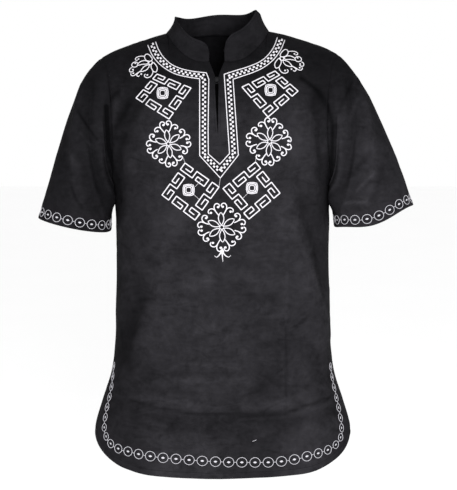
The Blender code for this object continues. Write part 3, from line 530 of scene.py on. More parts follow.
# ---------------------------------------------------------------- finishes and light
WAVE_PERIOD = 0.314  # length of one wave of the wave texture at a scale of 1
YARN_PITCH, PLY_PITCH = 0.00055, 0.0007
SLUB_SCALES = ((60, 1400, 1), (1400, 60, 1))
# Noise in the cotton's dye: scale, detail and weight. The first also varies the roughness.
DYE_NOISES = ((11.0, 4.0, 0.75), (48.0, 2.0, 0.45), (130.0, 2.0, 0.40), (900.0, 1.0, 0.10))
# Painted shade of fine wrinkles: the stretch and turn of its noise, and the noise's settings.
WRINKLE_SHADE_SCALE, WRINKLE_SHADE_TURN = (24.0, 24.0, 52.0), 0.25
WRINKLE_SHADE_NOISE = {"detail": 5.0, "Roughness": 0.66, "Distortion": 1.6}
# The weight of the painted wrinkle shade, then of the slubs, and the slubs' bump height.
WRINKLE_SHADE_WEIGHT, SLUB_WEIGHT, SLUB_HEIGHT = 0.90, 0.40, 1.2
COTTON_ROUGHNESS, ROUGHNESS_SPREAD, COTTON_GLOSS = 0.80, 0.10, 0.02
# Distortion and detail of the wave textures, and strength and distance of the bumps.
WEAVE_WAVES, THREAD_WAVES, CORD_WAVES = (0.6, 1.0), (0.8, 1.0), (3.0, 2.0)
WEAVE_BUMP, THREAD_BUMP, CORD_BUMP = (0.35, 0.00012), (0.5, 0.00012), (0.6, 0.0002)
COTTON_DARK, COTTON_LIGHT = (0.0008, 0.0008, 0.0010), (0.0260, 0.0250, 0.0285)
# Threads: name, light and dark colour, roughness, pitch of the strands, gloss.
THREADS = {
    "white": ("white_thread", (0.56, 0.55, 0.57), (0.36, 0.35, 0.38), 0.55, 0.00045, 0.5),
    "pale": ("pale_thread", (0.46, 0.45, 0.48), (0.28, 0.275, 0.30), 0.55, 0.00045, 0.5),
    "black": ("black_thread", (0.010, 0.010, 0.011), (0.004, 0.004, 0.005), 0.8, 0.0005, 0.02),
}
THREAD_NOISE, THREAD_STRANDS_WEIGHT, THREAD_NOISE_WEIGHT = 420.0, 0.6, 0.5
CORD_ROUGHNESS, CORD_GLOSS = 0.75, 0.10
CORD_COLOURS = ((0.002, 0.002, 0.0025), (0.009, 0.009, 0.010))
FLOOR_ROUGHNESS, FLOOR_NOISE = 0.9, 2.0
FLOOR_COLOURS = ((0.955, 0.955, 0.955), (0.975, 0.975, 0.975))
# Flat size across and along, area of the outer face, and how each sheet is held.
CUTS = {
    "front_cloth": ((0.636, 0.807), 0.359, "hung"),
    "back_cloth": ((0.627, 0.816), 0.366, "hung"),
    "sleeve_right_cloth": ((0.542, 0.302), 0.083, "hung"),
    "sleeve_left_cloth": ((0.553, 0.294), 0.085, "hung"),
    "collar_cloth": ((0.536, 0.051), 0.0196, "stretched"),
}
CAMERA_TARGET, CAMERA_RISE, CAMERA_FAR, CAMERA_LENS = (0.0196, 0.0, -0.3675), 6.0, 2.6, 109.15
FLOOR_Z, FLOOR_SIZE, WORLD_STRENGTH = -1.05, 24, 1.0
LIGHTS = (  # name, place, size, power
    ("key", (0.35, -2.9, -0.15), 0.7, 96.0),
    ("fill", (-0.9, -2.8, 0.3), 1.2, 12.0),
)


# ---------------------------------------------------------------- sums used throughout
def ease(share):
    share = np.clip(share, 0.0, 1.0)
    return share * share * (3 - 2 * share)


def near(distance, width):
    """A share that falls from 1 at no distance to almost 0 at two widths."""
    return np.exp(-((distance / width) ** 2))


def unit(vectors):
    return vectors / np.linalg.norm(vectors, axis=-1, keepdims=True)


def stepped(first, *rest):
    """Numbers from the first on. Each count of steps leads to the number after it."""
    out = [first]
    for count, last in zip(rest[::2], rest[1::2]):
        out.extend(np.linspace(out[-1], last, count + 1)[1:])
    return np.array(out)


def lengths(path):
    """How far along a line each of its places is."""
    return np.concatenate([[0.0], np.cumsum(np.linalg.norm(np.diff(path, axis=0), axis=1))])


def read_at(wanted, length, rows):
    """Rows read at the wanted lengths, between the lengths they are given for."""
    return np.stack([np.interp(wanted, length, column) for column in rows.T], axis=-1)


def even(points, count):
    """A number of places spread evenly along a line."""
    points = np.array(points, float)
    length = lengths(points)
    return read_at(np.linspace(0, length[-1], count), length, points)


def lifts(u, v, rows, scale=1.0):
    """How far each run of each line lifts the cloth at places (u, v)."""
    out = []
    for width, depth, *line in rows:
        line = np.array(line) * scale
        for (u1, v1), (u2, v2) in zip(line, line[1:]):
            run_u, run_v = u2 - u1, v2 - v1
            t = np.clip(((u - u1) * run_u + (v - v1) * run_v) / (run_u**2 + run_v**2), 0, 1)
            out.append(depth * near(np.hypot(u - u1 - t * run_u, v - v1 - t * run_v), width))
    return np.array(out)


def strokes(x, z, rows):
    """Painted highlights and shade along lines. Strokes that meet don't add up."""
    amounts = lifts(x, z, rows)
    return np.maximum(amounts.max(axis=0), 0) + np.minimum(amounts.min(axis=0), 0)


# ---------------------------------------------------------------- the body's form
def ring_value(column, at):
    """A smooth value between the rings' rows."""
    knots, values = RINGS[:, 0], RINGS[:, RING_COLUMNS.index(column)]
    slopes = np.gradient(values, knots)
    k = int(np.clip(np.searchsorted(knots, at) - 1, 0, len(knots) - 2))
    step = knots[k + 1] - knots[k]
    t = min(max((at - knots[k]) / step, 0.0), 1.0)
    bend = slopes[k] * t * (1 - t) ** 2 - slopes[k + 1] * t * t * (1 - t)
    return float(values[k] * (1 - ease(t)) + values[k + 1] * ease(t) + step * bend)


def swayed(points):
    """Points moved for the way the shirt hangs, with the neck left where it is."""
    points = np.array(points, float)
    x, z = points[..., 0].copy(), points[..., 2].copy()
    height = ease((z - SWAY_FOOT_Z) / (SWAY_TOP_Z - SWAY_FOOT_Z))
    near_neck = np.clip(1 - (x / SWAY_HALF_WIDTH) ** 2, 0, 1)
    points[..., 0] += SWAY * (1 - height * near_neck)
    across = ease((x - LIFT_FROM_X) / (LIFT_FULL_X - LIFT_FROM_X))
    points[..., 2] += SHOULDER_LIFT * across * ease((z - LIFT_FROM_Z) / (LIFT_FULL_Z - LIFT_FROM_Z))
    return points


def ridge(x):
    """Height of the shoulder seam's line at a distance from the middle."""
    slope = RIDGE_SLOPE * (np.sqrt(x * x + RIDGE_ROUND**2) - RIDGE_ROUND)
    return RIDGE_TOP_Z - slope - RIDGE_DROOP * np.maximum(0.0, x - RIDGE_DROOP_X) ** 2


def arch_level(side, z):
    """The angle up the arch at which the centre line reaches a height."""
    return math.asin(((z - UNDERARM_Z) / (RIDGE_TOP_Z - UNDERARM_Z)) ** (ARCH_POWER[side] / 2))


SLIT_FOOT, SLIT_TOP = arch_level("front", SLIT_FOOT_Z), arch_level("front", NECK_Z["front"])


def slit_half_gap(level):
    share = (level - SLIT_FOOT) / (SLIT_TOP - SLIT_FOOT)
    return float(np.interp(share, *np.array(SLIT).T)) if share > 0 else 0.0


def body_row(side, shares, level):
    """Points of the body at one level, at shares 0 to 1 of the way from its centre line to its edge.

    A level under 0 is metres below the underarm. Above 0 it is the angle up the arch.
    """
    fall = UNDERARM_Z + min(level, 0.0)
    half_width = ring_value("half_width", fall)
    depth = ring_value(side + "_depth", fall)
    rise, edge_angle, margin = 0.0, QUARTER, 0.0
    if level > 0:
        power = 2 / ARCH_POWER[side]
        armhole = half_width + (SHOULDER_X - half_width) * math.sin(level) ** 2
        armhole -= ARMHOLE_SCOOP * math.sin(2 * level)
        half_width += (ARCH_HALF_WIDTH - half_width) * math.sin(level) ** 2
        depth, rise = depth * math.cos(level) ** power, math.sin(level) ** power
        edge_angle = math.asin(min(armhole / half_width, 1.0) ** (RING_POWER / 2))
    else:
        margin = VENT_HALF_GAP * float(ease((VENT_Z - fall) / (VENT_Z - HEM_Z)))

    def places(angle):
        x = half_width * np.sin(angle) ** (2 / RING_POWER)
        y = depth * np.maximum(np.cos(angle), 0.0) ** (2 / RING_POWER)
        z = fall + rise * (ridge(x) - UNDERARM_Z)
        return np.stack([x, -y if side == "front" else y, z], axis=-1)

    length = lengths(places(RING_ANGLES))
    edge = np.interp(edge_angle, RING_ANGLES, length) - margin
    opened = 0.0
    if side == "front":
        opened = slit_half_gap(level) * np.maximum(1 - shares / SLIT_REACH, 0.0) ** 2
    return places(np.interp(edge * shares + opened, length, RING_ANGLES))


BODY = {
    side: np.array([body_row(side, TABLE_SHARES, level) for level in LEVELS]) for side in ARCH_POWER
}


def body_points(side, shares, levels):
    """Points of the body at shares -1 to 1 and at levels, read from a fine table of it."""
    shares, levels = np.broadcast_arrays(np.asarray(shares, float), np.asarray(levels, float))
    row = np.interp(levels, LEVELS, np.arange(len(LEVELS)))
    column = np.abs(shares) * (len(TABLE_SHARES) - 1)
    j = np.clip(row.astype(int), 0, len(LEVELS) - 2)
    i = np.clip(column.astype(int), 0, len(TABLE_SHARES) - 2)
    v, u = (row - j)[..., None], (column - i)[..., None]
    table = BODY[side]
    low = table[j, i] * (1 - u) + table[j, i + 1] * u
    high = table[j + 1, i] * (1 - u) + table[j + 1, i + 1] * u
    points = low * (1 - v) + high * v
    points[..., 0] = np.copysign(points[..., 0], shares)
    return points


def top_level(side, share):
    """The angle up the arch where a column of cloth ends, at the neckline or the shoulder seam."""
    r = np.minimum(np.abs(share) / NECK_SHARE, 1.0)
    centre = arch_level(side, NECK_Z[side])
    return centre + (RIDGE_LEVEL - centre) * (1 - (1 - r**NECK_POWER) ** (1 / NECK_POWER))


def hem_level(share):
    """The level of the hem, which turns up into the vents in a round corner."""
    inwards = np.maximum(1 - (1 - np.abs(share)) * HEM_HALF_LENGTH / HEM_CORNER_WIDTH, 0.0)
    corner = HEM_CORNER_HEIGHT * (1 - np.sqrt(1 - inwards**2))
    return HEM_Z + HEM_LIFT * share * share + corner - UNDERARM_Z


# ---------------------------------------------------------------- the cloth's wear, painted shade and relief
def unevenness(points, seed):
    """Slight waves and rumples that no pressed cloth is without."""
    out = np.zeros(points.shape[:-1])
    for at in np.ndindex(*out.shape):
        place = Vector(points[at])
        wave = noise.noise(place / UNEVEN_SIZE + Vector((seed, 0, 0)))
        rumple = noise.noise(place / RUMPLE_SIZE + Vector((0, seed, 0)))
        out[at] = UNEVEN_HEIGHT * wave + RUMPLE_HEIGHT * rumple * max(wave + RUMPLE_BIAS, 0.0)
    return out


def shaded_and_worn(wear_and_shade, height, edge):
    """The tone with a painted highlight on the ridges and painted shade in the troughs, and the dye paler
    from wear along the free edges.
    """
    change = np.clip(height * RIDGE_SHADING, -MOST_RIDGE_SHADING, MOST_RIDGE_SHADING)
    return wear_and_shade * (1 + (change + EDGE_WEAR * near(edge, EDGE_WEAR_WIDTH)) / BODY_WEAR)


def shade_over_shoulders(wear_and_shade, z):
    """Painted shade: the cloth is darker over the shoulders, which face away from the light."""
    return wear_and_shade + (SHOULDER_SHADE - wear_and_shade) * ease((z - SHOULDER_SHADE_FROM_Z) / (SHOULDER_SHADE_TO_Z - SHOULDER_SHADE_FROM_Z))


def base_tone_and_shade(points):
    """The body's base tone, with painted light down the middle where the light falls most, painted shade
    towards the wearer's right side, and painted shade over the shoulders.
    """
    x, z = points[..., 0], points[..., 2]
    wear_and_shade = BODY_WEAR + MIDDLE_HIGHLIGHT * near(x, MIDDLE_HALF_WIDTH)
    wear_and_shade = wear_and_shade - RIGHT_SIDE_SHADE * ease((-x - MIDDLE_HALF_WIDTH) / MIDDLE_HALF_WIDTH)
    return shade_over_shoulders(wear_and_shade, z)


def hem_rise(width, edge):
    """The step up to a hem's doubled cloth."""
    return HEM_RISE * ease((width - edge) / HEM_STEP + 0.5)


def grid_normals(points, way, closed=False):
    """Unit normals of a grid of points, on the side that way points to."""
    if closed:
        wide = np.concatenate([points[:, -1:], points, points[:, :1]], axis=1)
        along = np.gradient(wide, axis=1)[:, 1:-1]
    else:
        along = np.gradient(points, axis=1)
    normals = unit(np.cross(along, np.gradient(points, axis=0)))
    return normals * np.sign(np.sum(normals * way, axis=2).mean())


def edge_distance(points, axis, first):
    """Distance over the cloth from one edge of a grid."""
    steps = np.linalg.norm(np.diff(points, axis=axis), axis=2)
    if not first:
        steps = np.flip(steps, axis)
    pad = [(0, 0), (0, 0)]
    pad[axis] = (1, 0)
    total = np.pad(np.cumsum(steps, axis=axis), pad)
    return total if first else np.flip(total, axis)


def nearer_edge(points, axis):
    """Distance over the cloth from the nearer of two facing edges."""
    return np.minimum(edge_distance(points, axis, True), edge_distance(points, axis, False))


# ---------------------------------------------------------------- cloth
def link(name, mesh, finish):
    mesh.materials.append(finish)
    mesh.shade_smooth()
    obj = bpy.data.objects.new(name, mesh)
    bpy.context.scene.collection.objects.link(obj)
    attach(obj, "root")
    return obj


def mesh_of(bm, name):
    mesh = bpy.data.meshes.new(name)
    bm.to_mesh(mesh)
    bm.free()
    return mesh


def cloth_object(node, points, uvs, wear_and_shade, finish, wall, outwards=True, closed=False, lip=None):
    """A cloth shell from a grid of outer points. lip holds doubled points beside a slit."""
    rows, columns = points.shape[:2]
    bm = bmesh.new()
    uv_layer = bm.loops.layers.uv.new("cloth")
    verts = [[bm.verts.new(p) for p in row] for row in points]
    middle = columns // 2
    for j in range(rows - 1):
        for i in range(columns if closed else columns - 1):
            k = (i + 1) % columns
            corners = [verts[j][i], verts[j][k], verts[j + 1][k], verts[j + 1][i]]
            if lip and i == middle - 1:
                corners[1] = lip_vert(bm, lip, j, corners[1])
                corners[2] = lip_vert(bm, lip, j + 1, corners[2])
            flat = [uvs[j, i], uvs[j, i + 1], uvs[j + 1, i + 1], uvs[j + 1, i]]
            if not outwards:
                corners, flat = corners[::-1], flat[::-1]
            face = bm.faces.new(corners)
            for loop, uv in zip(face.loops, flat):
                loop[uv_layer].uv = uv
    mesh = mesh_of(bm, node + "_cloth")
    values = np.concatenate([wear_and_shade.reshape(-1), [wear_and_shade[j, middle] for j in lip or ()]])
    mesh.attributes.new("wear_and_shade", "FLOAT", "POINT").data.foreach_set("value", values.astype(np.float32))
    obj = link(node + "_cloth", mesh, finish)
    thick = obj.modifiers.new("wall", "SOLIDIFY")
    thick.thickness = wall
    thick.offset = -1.0
    thick.use_even_offset = False
    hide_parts(node)
    return obj


def lip_vert(bm, lip, j, shared):
    """The doubled vertex of a slit's far side at a row, made when first asked for."""
    if j not in lip:
        return shared
    if not isinstance(lip[j], bmesh.types.BMVert):
        lip[j] = bm.verts.new(lip[j])
    return lip[j]


def panel_shares():
    """Columns from edge to edge, closer together at the side seams, neck and centre."""
    half = stepped(*SHARE_STEPS)
    half[np.argmin(np.abs(half - NECK_SHARE))] = NECK_SHARE
    return np.concatenate([-half[:0:-1], half])


def panel_rows():
    """Shares up a panel's two parts, below the underarm and above it, and the slit's lowest row."""
    low = stepped(*LOW_STEPS)[:-1]
    high = stepped(0.0, SLIT_FOOT_STEPS, SLIT_FOOT / SLIT_TOP, *HIGH_STEPS)
    return low, high, len(low) + SLIT_FOOT_STEPS


def sewn_under(levels, to_side, to_top):
    """How far the back is sewn in under the front's edge, along the shoulder and side seams."""
    beside = near(to_side, SEAM_LAP_WIDTH) * (1 - ease(levels / UNDERARM_BLEND))
    beside = beside * ease((levels - (VENT_Z - UNDERARM_Z)) / VENT_BLEND)
    return np.maximum(near(to_top, SEAM_LAP_WIDTH), beside)


def panel_grid(side):
    """A panel's points, their places in the weave, their wear and painted shade, and the slit's lowest row.
    """
    shares = panel_shares()
    low, high, foot_row = panel_rows()
    top = top_level(side, shares)
    levels = np.concatenate([(1 - low)[:, None] * hem_level(shares), high[:, None] * top])
    points = body_points(side, shares, levels)
    outward = grid_normals(points, (0.0, -1.0 if side == "front" else 1.0, 0.0))
    x, z = points[..., 0], points[..., 2]
    big = lifts(x, z, FOLDS[side]).sum(axis=0)
    fall = ease((HEM_WAVES_TOP_Z - z) / HEM_WAVES_RISE)
    for centre, width, depth in HEM_WAVES[side]:
        big = big + depth * fall * near(x - centre, width)
    fine = lifts(x, z, CREASES[side]).sum(axis=0) + unevenness(points, NOISE_PLACE[side])
    inwards = 1 - np.abs(shares)
    near_top = np.where(levels > 0, ease((top - levels) / FOLDS_END_BY_RIDGE), 1.0)
    height = big * ease(inwards / FOLDS_END_BY_SIDE) * near_top
    height = height + fine * ease(inwards / CREASES_END_BY_SIDE)
    to_side = nearer_edge(points, 1)
    to_top, to_hem = edge_distance(points, 0, False), edge_distance(points, 0, True)
    vent = levels < VENT_Z - UNDERARM_Z
    seam = np.minimum(np.where(vent, FAR_OFF, to_side), to_top)
    edge = np.minimum(to_hem, np.where(vent, to_side, FAR_OFF))
    height = height - SEAM_ROLL * near(seam, SEAM_ROLL_WIDTH) + hem_rise(HEM_WIDTH, edge)
    height = height - EDGE_ROLL * (1 - ease(edge / EDGE_ROLL_WIDTH))
    points = points + outward * (height + WALL / 2)[..., None]
    if side == "back":
        points[..., 1] -= SEAM_LAP * sewn_under(levels, to_side, to_top)
    points = swayed(points)
    # Painted shade and highlights: darker in the troughs, over the shoulders and to the wearer's right,
    # paler on the ridges, down the middle and along the crease strokes; paler from wear at the hem and
    # vents.
    wear_and_shade = shaded_and_worn(base_tone_and_shade(points), height, edge) + strokes(x, z, PAINTED_SHADING[side])
    middle = len(shares) // 2
    u = edge_distance(points, 1, True)
    u = u - u[:, [middle]]
    v = -to_top[:, [middle]] + np.zeros_like(u)
    return points, np.stack([u, v], axis=-1), wear_and_shade, foot_row


def slit_centre(points, j):
    """The x of the slit's centre line at a row of the front."""
    middle = points.shape[1] // 2
    return (points[j, middle - 1, 0] + points[j, middle + 1, 0]) / 2


def panel(side, finish):
    """The front or the back. The front is slit from the neckline down."""
    points, uvs, wear_and_shade, foot_row = panel_grid(side)
    lip = {}
    if side == "front":
        for j in range(foot_row + 1, len(points)):
            x, y, z = points[j, points.shape[1] // 2]
            lip[j] = Vector((2 * slit_centre(points, j) - x, y, z))
    obj = cloth_object(side, points, uvs, wear_and_shade, finish, WALL, outwards=side == "front", lip=lip)
    return obj, points


def arch_share(place):
    """Share of the way up the arch of a place along the armhole, from 0 at the underarm to 1."""
    foot, row = SLIT_FOOT / SLIT_TOP, place * ARCH_ROWS
    low = foot * (np.minimum(row, SLIT_FOOT_ROW) / SLIT_FOOT_ROW) ** LOW_ROW_CROWDING
    high = foot + (1 - foot) * (row - SLIT_FOOT_ROW) / (ARCH_ROWS - SLIT_FOOT_ROW)
    return np.where(row < SLIT_FOOT_ROW, low, high)


def sleeve_grid(side, turns, down):
    """Points of a sleeve at turns about it and shares of the way down, on its smooth form."""
    hand, outer_x, outer_z, inner_x, inner_z, front_drop, wave, cap_reach, outer_lean = SLEEVES[side]
    climb = arch_share(1 - np.abs(((turns / math.pi + 1) % 2) - 1))
    front, back = (
        body_points(panel_side, np.full_like(turns, hand), climb * float(top_level(panel_side, 1.0)))
        for panel_side in ("front", "back")
    )
    outwards, forwards = (1 + np.cos(turns)) / 2, np.sin(turns)
    armhole = np.where((forwards >= 0)[:, None], front, back)

    def mixed(*parts):
        return sum(np.outer(weight, vector) for weight, vector in parts)

    out, ahead, down_front = FRONT_LEAD
    to_front = np.abs(forwards) ** FRONT_LEAD_POWER
    lead = mixed(
        (outwards**2, (hand * cap_reach, 0.0, -CAP_FALL)),
        (to_front, (hand * out, 0.0, -down_front)),
        (to_front * forwards, (0.0, -ahead, 0.0)),
        ((1 - outwards) ** 2, (hand * PIT_LEAD[0], -PIT_LEAD[1], -PIT_LEAD[2])),
    )
    outer_run, inner_run = (
        (hand * lean, 0.0, -math.sqrt(1 - lean**2)) for lean in (outer_lean, INNER_LEAN)
    )
    run = mixed((outwards, outer_run), (1 - outwards, inner_run))
    outer = np.array([hand * outer_x, CUFF_Y, outer_z])
    inner = np.array([hand * inner_x, CUFF_Y, inner_z])
    cuff = (outer + inner) / 2 + np.outer(np.cos(turns), (outer - inner) / 2)
    cuff[:, 1] -= CUFF_DEPTH * forwards
    cuff[:, 2] -= front_drop * forwards * (CUFF_DROP_MEAN - CUFF_DROP_LEAN * np.cos(turns))
    cuff[:, 2] += wave * np.sin(CUFF_WAVES * turns) * np.maximum(forwards, 0.0)
    start = armhole - unit(lead) * SLEEVE_TUCK
    reach = INNER_STRAIGHT_SHARE + (1 - INNER_STRAIGHT_SHARE) * outwards
    straight_run = run * (SLEEVE_STRAIGHT * reach)[:, None]
    t = (down**ROW_CROWDING)[:, None, None]
    points = (1 - t) ** 3 * start + 3 * t * (1 - t) ** 2 * (start + lead)
    return points + 3 * t * t * (1 - t) * (cuff - straight_run) + t**3 * cuff


def lapped(points, turns, side, to_seam, panels):
    """The sleeve with its front laid a little over the body under the arm, as far as the panels let it."""
    drop = points[..., 2] - LAP_Z
    level = near(drop, np.where(drop > 0, LAP_UP, LAP_DOWN))
    amount = LAP_REACH[side] * level * near(turns - LAP_TURN, LAP_SPREAD)
    amount = amount * ease(to_seam / CALM_BY_ARMHOLE)
    towards = Vector((1.0 if side == "right" else -1.0, 0.0, 0.0))
    out = points.copy()
    for at in np.argwhere(amount > LEAST_LAP):
        place, push = Vector(points[tuple(at)]), amount[tuple(at)]
        for share in LAP_SHARES:
            moved = place + towards * (push * share)
            if all((nearest(tree, moved)[0] - moved).length > LAP_CLEARANCE for tree in panels):
                out[tuple(at)] = moved
                break
    low = ease((SPREAD_FROM_Z - points[..., 2]) / SPREAD_FALL)
    out[..., 0] -= towards.x * CUFF_SPREAD[side] * low * near(turns - math.pi, SPREAD_TURN)
    return out


def sleeve(side, finish, panels):
    """A sleeve, folded, hemmed at the cuff and laid beside the body."""
    turns = np.linspace(0, 2 * math.pi, SLEEVE_TURNS + 1)[:-1]
    down = stepped(*SLEEVE_STEPS)
    points = sleeve_grid(side, turns, down)
    radial = unit(points - points.mean(axis=1, keepdims=True))
    outward = grid_normals(points, radial, closed=True)
    around = ((turns + math.pi) % (2 * math.pi) - math.pi) * SLEEVE_RADIUS
    fall = down[:, None] * SLEEVE_LENGTH
    scale = (math.radians(1) * SLEEVE_RADIUS, SLEEVE_LENGTH)
    big, fine = (lifts(around, fall, rows, scale).sum(axis=0) for rows in (SLEEVE_FOLDS, SLEEVE_CREASES))
    near_cuff = ease(1 - (1 - down) / FOLDS_END_ON_SLEEVE)
    big = big * (ease(down / FOLDS_END_ON_SLEEVE) * (1 - CUFF_FOLD_LOSS * near_cuff))[:, None]
    to_seam, to_cuff = edge_distance(points, 0, True), edge_distance(points, 0, False)
    fine = (fine + unevenness(points, NOISE_PLACE[side])) * ease(to_seam / CALM_BY_ARMHOLE)
    fine = fine - SEAM_ROLL * near(to_seam, SEAM_ROLL_WIDTH)
    underarm = near((turns - math.pi) * SLEEVE_RADIUS, UNDERARM_ROLL_WIDTH)
    fine = fine - UNDERARM_ROLL * underarm * ease(to_seam / UNDERARM_ROLL_RISE)
    fine = fine + hem_rise(CUFF_HEM_WIDTH, to_cuff) - CUFF_ROLL * (to_cuff < CUFF_ROLL_WIDTH)
    x, z = points[..., 0], points[..., 2]
    # Painted shade: the sleeve's tone with the right one darker, shade over the shoulders and in the
    # troughs, highlight on the ridges, wear at the cuff, and painted strokes on its front.
    wear_and_shade = shaded_and_worn(shade_over_shoulders(SLEEVE_TONE_AND_SHADE[side], z), big + fine, to_cuff)
    wear_and_shade = wear_and_shade + ease(np.sin(turns) * SLEEVE_TONE_RISE) * strokes(x, z, PAINTED_SHADING[side])
    points = swayed(points + radial * big[..., None] + outward * (fine + WALL / 2)[..., None])
    points = lapped(points, turns, side, to_seam, panels)
    u = np.concatenate([edge_distance(points, 1, True), np.zeros((len(down), 1))], axis=1)
    u[:, -1] = 2 * u[:, -2] - u[:, -3]
    v = -edge_distance(points, 0, True)[:, [0]] + np.zeros_like(u)
    uvs = np.stack([u, v], axis=-1)
    turned = np.cross(points[1, 1] - points[1, 0], points[2, 0] - points[1, 0])
    outwards = float(turned @ radial[1, 0]) > 0
    node = "sleeve_" + side
    obj = cloth_object(node, points, uvs, wear_and_shade, finish, WALL, outwards=outwards, closed=True)
    return obj, points


def neckline(count):
    """The neckline from the front's right lip, round the back, to its left lip."""
    shares = NECK_SHARE * np.sin(np.linspace(0, QUARTER, count))
    front, back = (body_points(side, shares, top_level(side, shares)) for side in ("front", "back"))
    path = even(np.concatenate([front[:-1], [(front[-1] + back[-1]) / 2], back[-2::-1]]), count)
    return np.concatenate([path * np.array([-1.0, 1.0, 1.0]), path[-2::-1]])


def collar_grid():
    """The stand collar's points from the neckline up, and the lengths along its foot."""
    base = neckline(NECKLINE_POINTS)
    length = lengths(base)
    centre_y = (COLLAR_TOP_FRONT_Y + COLLAR_TOP_BACK_Y) / 2
    half_depth = (COLLAR_TOP_BACK_Y - COLLAR_TOP_FRONT_Y) / 2
    back_share = (base[:, 1] - centre_y) / (half_depth + NECK_EXTRA_DEPTH)
    bearing = np.arctan2(base[:, 0] / NECK_X, back_share)
    side, front = COLLAR_TRIM_BEARINGS
    trim = np.where(bearing > 0, COLLAR_FRONT_TRIM["left"], COLLAR_FRONT_TRIM["right"])
    trim = COLLAR_SIDE_TRIM + (trim - COLLAR_SIDE_TRIM) * ease((np.abs(bearing) - side) / (front - side))
    rim_x, rim_y = COLLAR_TOP_HALF_WIDTH * np.sin(bearing), centre_y + half_depth * np.cos(bearing)
    rim_z = base[:, 2] + COLLAR_HEIGHT - trim + COLLAR_TILT * base[:, 0]
    rim = np.stack([rim_x, rim_y, rim_z], axis=1)
    end = np.maximum(COLLAR_CORNER - np.minimum(length, length[-1] - length), 0.0)
    drop = COLLAR_CORNER - np.sqrt(COLLAR_CORNER**2 - end**2)
    v = stepped(*COLLAR_STEPS)[:, None] * (1 - COLLAR_CORNER_SHARE * drop / COLLAR_CORNER)
    lean = 1 - (1 - v) ** COLLAR_FLARE
    points = base + (rim - base) * np.stack([lean, lean, v], axis=-1)
    curl = np.clip(1 - (1 - v) / COLLAR_CURL_SHARE, 0.0, 1.0) ** COLLAR_CURL_POWER
    points[..., 0] -= COLLAR_CURL * curl * np.clip(np.sin(bearing), 0.0, 1.0) ** COLLAR_CURL_SIDE_POWER
    tucked = points[:1] - np.array([0.0, 0.0, COLLAR_TUCK])
    return np.concatenate([tucked, points]), length


def collar(finish):
    """The stand collar: two layers of cloth with a rolled edge, stitched near it."""
    points, length = collar_grid()
    flat_out = (points - np.array([0.0, COLLAR_MIDDLE_Y, 0.0])) * np.array([1.0, 1.0, 0.0])
    outward = grid_normals(points, flat_out)
    to_foot = edge_distance(points, 0, True)
    to_edge = np.minimum(edge_distance(points, 0, False), nearer_edge(points, 1))
    height = unevenness(points, NOISE_PLACE["collar"]) * COLLAR_CALM * ease(to_edge / CALM_BY_COLLAR_EDGE)
    height = height - COLLAR_STITCH_DEPTH * near(to_edge - COLLAR_STITCH, COLLAR_STITCH_WIDTH)
    height = height - COLLAR_ROLL * (1 - ease(to_edge / COLLAR_ROLL_WIDTH))
    height = height - COLLAR_SEAM * near(to_foot, COLLAR_SEAM_WIDTH)
    points = swayed(points + outward * (height + COLLAR_WALL / 2)[..., None])
    uvs = np.stack([np.broadcast_to(length, points.shape[:2]), edge_distance(points, 0, True)], axis=-1)
    # Painted highlight on the ridges and painted shade in the troughs, with wear along the edges.
    wear_and_shade = shaded_and_worn(COLLAR_TONE, height, to_edge)
    return cloth_object("collar", points, uvs, wear_and_shade, finish, COLLAR_WALL, outwards=False), points


# ---------------------------------------------------------------- places on the cloth
def tree_of(obj):
    mesh = obj.data
    return BVHTree.FromPolygons([v.co for v in mesh.vertices], [p.vertices for p in mesh.polygons])


def facing(tree, x, z, way=1):
    """The place on a panel's face at x and z, and the way out of the cloth. None if off it."""
    place, outward, _, _ = tree.ray_cast(Vector((x, -way, z)), Vector((0, way, 0)))
    return (place, outward) if place is not None else None


def nearest(tree, point):
    place, outward, _, _ = tree.find_nearest(Vector(point))
    return place, outward


def edge_keeper(points, clearance):
    """Says whether a place on a panel is clear of its seams and edges."""
    to_edge = np.minimum(nearer_edge(points, 1), nearer_edge(points, 0)).reshape(-1)
    tree = KDTree(len(to_edge))
    for k, place in enumerate(points.reshape(-1, 3)):
        tree.insert(place, k)
    tree.balance()

    def keep(place):
        _, index, _ = tree.find(place)
        return to_edge[index] > clearance

    return keep


def inside_outline(outline, x, z):
    """Whether a place in the front view is inside a closed outline."""
    inside = False
    for (x1, z1), (x2, z2) in zip(outline, outline[1:] + outline[:1]):
        if (z1 > z) != (z2 > z) and x < (x2 - x1) * (z - z1) / (z2 - z1) + x1:
            inside = not inside
    return inside


def slit_paths(points, tree):
    """Lines beside the slit, down each lip."""
    foot_row = panel_rows()[2]
    for sign in (-1, 1):
        path = []
        for j in range(len(points) - 3, foot_row, -2):
            x, y, z = points[j, points.shape[1] // 2]
            centre = slit_centre(points, j)
            path.append(nearest(tree, (centre + sign * (abs(x - centre) + SLIT_STITCH), y, z)))
        yield path


def seam_paths(points, tree):
    """Lines of stitching beside the armhole seams."""
    first = int(np.argmin(np.abs(points[:, 0, 2] - UNDERARM_Z))) + 1
    for flip in (1, -1):
        rows = points[:, ::flip]
        far = edge_distance(rows, 1, True)
        yield [
            nearest(tree, read_at(ARMHOLE_STITCH, far[j], rows[j])) for j in range(first, len(rows) - 2)
        ]


def row_path(points, tree, inset, columns):
    """A line a set distance in from the last row of a cloth's grid, over some of its columns."""
    far = edge_distance(points, 0, False)
    path = []
    for i in columns:
        order = np.argsort(far[:, i])
        path.append(nearest(tree, read_at(inset, far[order, i], points[order, i])))
    return path


def walk(tree, spot, way, distance):
    """The place reached by going a distance over the cloth, as (place, outward)."""
    count = max(1, round(distance / WALK_STEP))
    for _ in range(count):
        after, outward = nearest(tree, spot + way * (distance / count))
        way = (after - spot).normalized()
        spot = after
    return spot, outward


